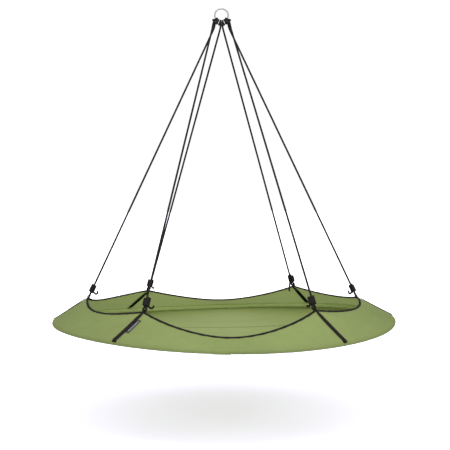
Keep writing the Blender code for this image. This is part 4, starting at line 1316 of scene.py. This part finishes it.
# ------------------------------------------------------------------ label
def make_label():
    """A woven label beside the strap, sewn along one long edge and curling at the other."""
    lift = FABRIC / 2 + GAP + 0.0007 + LABEL_T / 2
    ends, height = [], LABEL_START
    for _ in range(2):
        deg, base, rise, normal, length, side = strap_frame(LABEL_CORNER, height)
        edge = turned(deg, base + rise * (length * height) + normal * lift)
        ends.append(edge + side * (STRAP_W + 0.0012))
        up = unit(turned(deg, normal))
        height += LABEL_LEN / length
    start = ends[0]
    along = unit(ends[1] - start)
    up = unit(up - up.dot(along) * along)
    side = unit(np.cross(along, up))
    y, x = np.meshgrid(np.linspace(0, LABEL_LEN, 70), np.linspace(0, LABEL_W, 16), indexing="ij")
    # the free long edge lifts in waves, its far end a little more
    curl = (0.0007 * ease((x / LABEL_W - 0.35) / 0.65) * (0.6 + 0.4 * np.sin(y * 90))
            + 0.0006 * (x / LABEL_W) * ease((y / LABEL_LEN - 0.7) / 0.3))
    points = start + side * x[..., None] + along * y[..., None] + up * curl[..., None]
    # the stripes and bars stand slightly proud
    off_mid = np.abs(x - LABEL_W / 2)
    stripes = np.abs(off_mid - 0.0041) < 0.0006
    bars = (off_mid < LABEL_BAR_HALF) & (np.sin(2 * PI * y / LABEL_BAR_PITCH) > 0)
    mark = (stripes | bars) & (y > LABEL_MARGIN) & (y < LABEL_LEN - LABEL_MARGIN)
    from_edge = np.minimum(np.minimum(x, LABEL_W - x), np.minimum(y, LABEL_LEN - y))
    half = LABEL_T / 2 * (0.35 + 0.65 * ease(from_edge / 0.0006))
    ob = sheet_object("label_cloth", points + up * (half + 0.00012 * mark)[..., None],
                      points - up * half[..., None], np.stack([x, y], -1), M_LABEL)
    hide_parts("side_label")
    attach(ob, "label_body")
    reach = np.linspace(0.003, LABEL_LEN - 0.003, 60)[:, None]
    seam = start + along * reach + side * 0.0014 + up * LABEL_T / 2
    stitch_object("label_stitching", [(seam, np.broadcast_to(up, seam.shape))], M_THREAD_BLACK,
                  "label_body", length=0.003, pitch=0.0045, radius=0.0003)


# ------------------------------------------------------------------ ring
def make_ring():
    """The hanging ring, with a slight weld swelling on one side."""
    count, sides = 144, 28
    turn = 2 * PI * np.arange(count) / count + PI / 2
    weld = np.exp(-((np.arange(count) - 40) / 1.6) ** 2) * 0.00025
    ang = 2 * PI * np.arange(sides) / sides
    front_back = np.sin(ang)[:, None] * np.array([0, 1.0, 0])
    loops = []
    for a, swell in zip(turn, weld):
        out = np.array([math.cos(a), 0, math.sin(a)])
        radius = RING_WIRE_R + swell + 0.00004 * math.sin(17 * a)
        loops.append(RING_CENTRE + out * RING_MEAN_R
                     + radius * (np.cos(ang)[:, None] * out + front_back))
    ob = tube_object("ring_metal", np.array(loops), M_RING, turn * RING_MEAN_R,
                     closed=True)
    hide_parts("hanging_ring")
    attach(ob, "ring")


# ------------------------------------------------------------------ seams on all the walls
def make_wall_stitching():
    """Rows under the rim, and on both sides of the edge tape."""
    wall_runs, tape_runs = [], []
    for panel in range(6):
        start, end, _ = span(panel)
        parts = [(start + 0.6, end - 0.6)]
        if panel == FLAP_PANEL:
            parts = [(start + 0.6, RIM_JOINT_DEG - FLAP_HALF_DEG - 0.5),
                     (RIM_JOINT_DEG + FLAP_HALF_DEG + 0.5, end - 0.6)]
        for first, last in parts:
            wall_runs.append(rim_run(np.linspace(first, last, 200), SLEEVE_OUT + GAP + 0.0011,
                                     WRAP_LOW + 12.0))
        deg = np.linspace(start + 0.8, end - 0.8, 240)
        _, top, rise, normal = wall_frame(panel, deg)
        for down, sign in ((0.0058, 1), (0.0046, -1)):
            line = turned(deg, top - rise * down + sign * normal * 0.0020)
            tape_runs.append((line, sign * turned(deg, normal)))
    stitch_object("wall_seam_stitching", wall_runs, M_THREAD, "sling")
    stitch_object("edge_tape_stitching", tape_runs, M_THREAD_BLACK, "sling",
                  length=0.0036, pitch=0.0055, radius=0.00036)


# ------------------------------------------------------------------ build the object
make_ring()
for hitch in range(3):
    make_rope(hitch)
for corner in range(6):
    make_knot(corner)
    make_strap(corner)
for panel in range(6):
    make_wall(panel)
    make_binding(panel)
make_sleeve()
make_flap()
make_deck("back", start_deg=0.0, side=1)
make_deck("front", start_deg=180.0, side=-1)
make_deck_seam()
make_label()
make_wall_stitching()

for number in range(1, 7):
    for tube_slot in frame["nodes"]["rim_tube_%d" % number].material_slots:
        tube_slot.material = M_TUBE

# ------------------------------------------------------------------ floor
FLOOR_Z = -RIM_DROP - 0.490
FLOOR_R = 60
# (diffuse colour, glow near the middle) for light bounces, then for what the camera sees
FLOOR_KINDS = (((0.33, 0.33, 0.33), 0.42), ((1.06, 1.01, 1.24), 0.27))
FLOOR_FADE = (2.4, 5.0)     # distances from the origin where the glow starts and stops to rise
FLOOR_FAR_GLOW = 1.02


def floor_material():
    """A floor that fades into the white surroundings and is clear from below."""
    m = Shader("floor")
    m.tree.nodes.clear()
    output = m.node("ShaderNodeOutputMaterial")
    place = m.coords("Object")
    dist = m.node("ShaderNodeVectorMath", operation="LENGTH")
    m.put(dist.inputs[0], place)
    path = m.node("ShaderNodeLightPath")
    kinds = []
    for tone, near_glow in FLOOR_KINDS:
        diffuse = m.node("ShaderNodeBsdfDiffuse")
        diffuse.inputs["Color"].default_value = tone + (1,)
        glow = m.node("ShaderNodeEmission")
        glow.inputs["Color"].default_value = (1, 1, 1, 1)
        m.put(glow.inputs["Strength"],
              m.ramp(dist.outputs["Value"], read=FLOOR_FADE, give=(near_glow, FLOOR_FAR_GLOW)))
        both = m.node("ShaderNodeAddShader")
        m.put(both.inputs[0], diffuse.outputs[0])
        m.put(both.inputs[1], glow.outputs[0])
        kinds.append(both)
    seen = m.node("ShaderNodeMixShader")
    m.put(seen.inputs[0], path.outputs["Is Camera Ray"])
    m.put(seen.inputs[1], kinds[0].outputs[0])
    m.put(seen.inputs[2], kinds[1].outputs[0])
    clear = m.node("ShaderNodeBsdfTransparent")
    side = m.node("ShaderNodeNewGeometry")
    final = m.node("ShaderNodeMixShader")
    m.put(final.inputs[0], side.outputs["Backfacing"])
    m.put(final.inputs[1], seen.outputs[0])
    m.put(final.inputs[2], clear.outputs[0])
    m.put(output.inputs["Surface"], final.outputs[0])
    return m.material


def make_floor():
    sides = 96
    ang = 2 * PI * np.arange(sides) / sides
    edge = np.stack([FLOOR_R * np.cos(ang), FLOOR_R * np.sin(ang), np.full(sides, FLOOR_Z)], 1)
    k = np.arange(sides)
    faces = np.stack([np.zeros(sides, int), 1 + k, 1 + (k + 1) % sides], 1)
    floor = mesh_object("floor", np.vstack([[[0, 0, FLOOR_Z]], edge]), [faces],
                        floor_material(), outward=False)


make_floor()


# ------------------------------------------------------------------ world and lights
def make_world(light, seen):
    """White surroundings: one strength for lighting, another as the camera sees them."""
    world = bpy.data.worlds.new("studio")
    bpy.context.scene.world = world
    world.use_nodes = True
    nodes, links = world.node_tree.nodes, world.node_tree.links
    nodes.clear()
    output = nodes.new("ShaderNodeOutputWorld")
    backgrounds = []
    for strength in (light, seen):
        background = nodes.new("ShaderNodeBackground")
        background.inputs["Color"].default_value = (1, 1, 1, 1)
        background.inputs["Strength"].default_value = strength
        backgrounds.append(background)
    path = nodes.new("ShaderNodeLightPath")
    mix = nodes.new("ShaderNodeMixShader")
    links.new(path.outputs["Is Camera Ray"], mix.inputs[0])
    links.new(backgrounds[0].outputs[0], mix.inputs[1])
    links.new(backgrounds[1].outputs[0], mix.inputs[2])
    links.new(mix.outputs[0], output.inputs["Surface"])


def area_light(name, place, target, size, power):
    data = bpy.data.lights.new(name, "AREA")
    data.energy = power
    data.size = size
    ob = bpy.data.objects.new(name, data)
    bpy.context.scene.collection.objects.link(ob)
    ob.location = place
    ob.visible_camera = False
    aim = Vector(target) - Vector(place)
    ob.rotation_euler = aim.to_track_quat("-Z", "Y").to_euler()


make_world(light=0.80, seen=1.02)
# name, place, target, size (m), power (W)
LIGHTS = (
    ("key_top", (-0.15, -2.2, 2.5), (0, 0, -1.7), 1.3, 88.0),
    ("back_low", (0.0, 5.0, -0.9), (0, 0.6, -1.62), 2.6, 110.0),
    ("fill_right", (4.2, -2.6, 0.2), (0, 0, -1.62), 2.4, 45.0),
    ("fill_left", (-4.2, -2.6, 0.2), (0, 0, -1.62), 2.4, 30.0),
    ("fill_front", (0.2, -5.0, -0.9), (0, 0, -1.62), 3.0, 80.0),
)
for light_row in LIGHTS:
    area_light(*light_row)

# ------------------------------------------------------------------ camera
LENS_MM = 80.58
SENSOR_MM = 36.0
CAMERA_DIST = 5.4209        # in front of the Z axis
CAMERA_HIGH = 0.6943        # above the rim
# radians: down, to the right, about the view, and the camera's place round the Z axis
PITCH, YAW, ROLL, TURN = 0.0314, 0.0018, -0.0081, 0.0394


def make_camera():
    data = bpy.data.cameras.new("camera")
    data.sensor_width = SENSOR_MM
    data.lens = LENS_MM
    data.clip_end = 200.0
    camera = bpy.data.objects.new("camera", data)
    bpy.context.scene.collection.objects.link(camera)
    turn = np.array([[math.cos(TURN), math.sin(TURN), 0], [-math.sin(TURN), math.cos(TURN), 0],
                     [0, 0, 1]])
    forward = np.array([math.sin(YAW) * math.cos(PITCH), math.cos(YAW) * math.cos(PITCH),
                        -math.sin(PITCH)])
    right = np.array([math.cos(YAW), -math.sin(YAW), 0])
    up = np.cross(right, forward)
    rolled_right = right * math.cos(ROLL) + up * math.sin(ROLL)
    rolled_up = -right * math.sin(ROLL) + up * math.cos(ROLL)
    pose = np.eye(4)
    pose[:3, :3] = np.stack([turn @ rolled_right, turn @ rolled_up, -(turn @ forward)], 1)
    pose[:3, 3] = turn @ np.array([0, -CAMERA_DIST, CAMERA_HIGH]) + np.array([0, 0, -RIM_DROP])
    camera.matrix_world = Matrix(pose.tolist())
    bpy.context.scene.camera = camera


make_camera()
bpy.context.scene.view_settings.view_transform = "Standard"
bpy.context.scene.view_settings.look = "None"
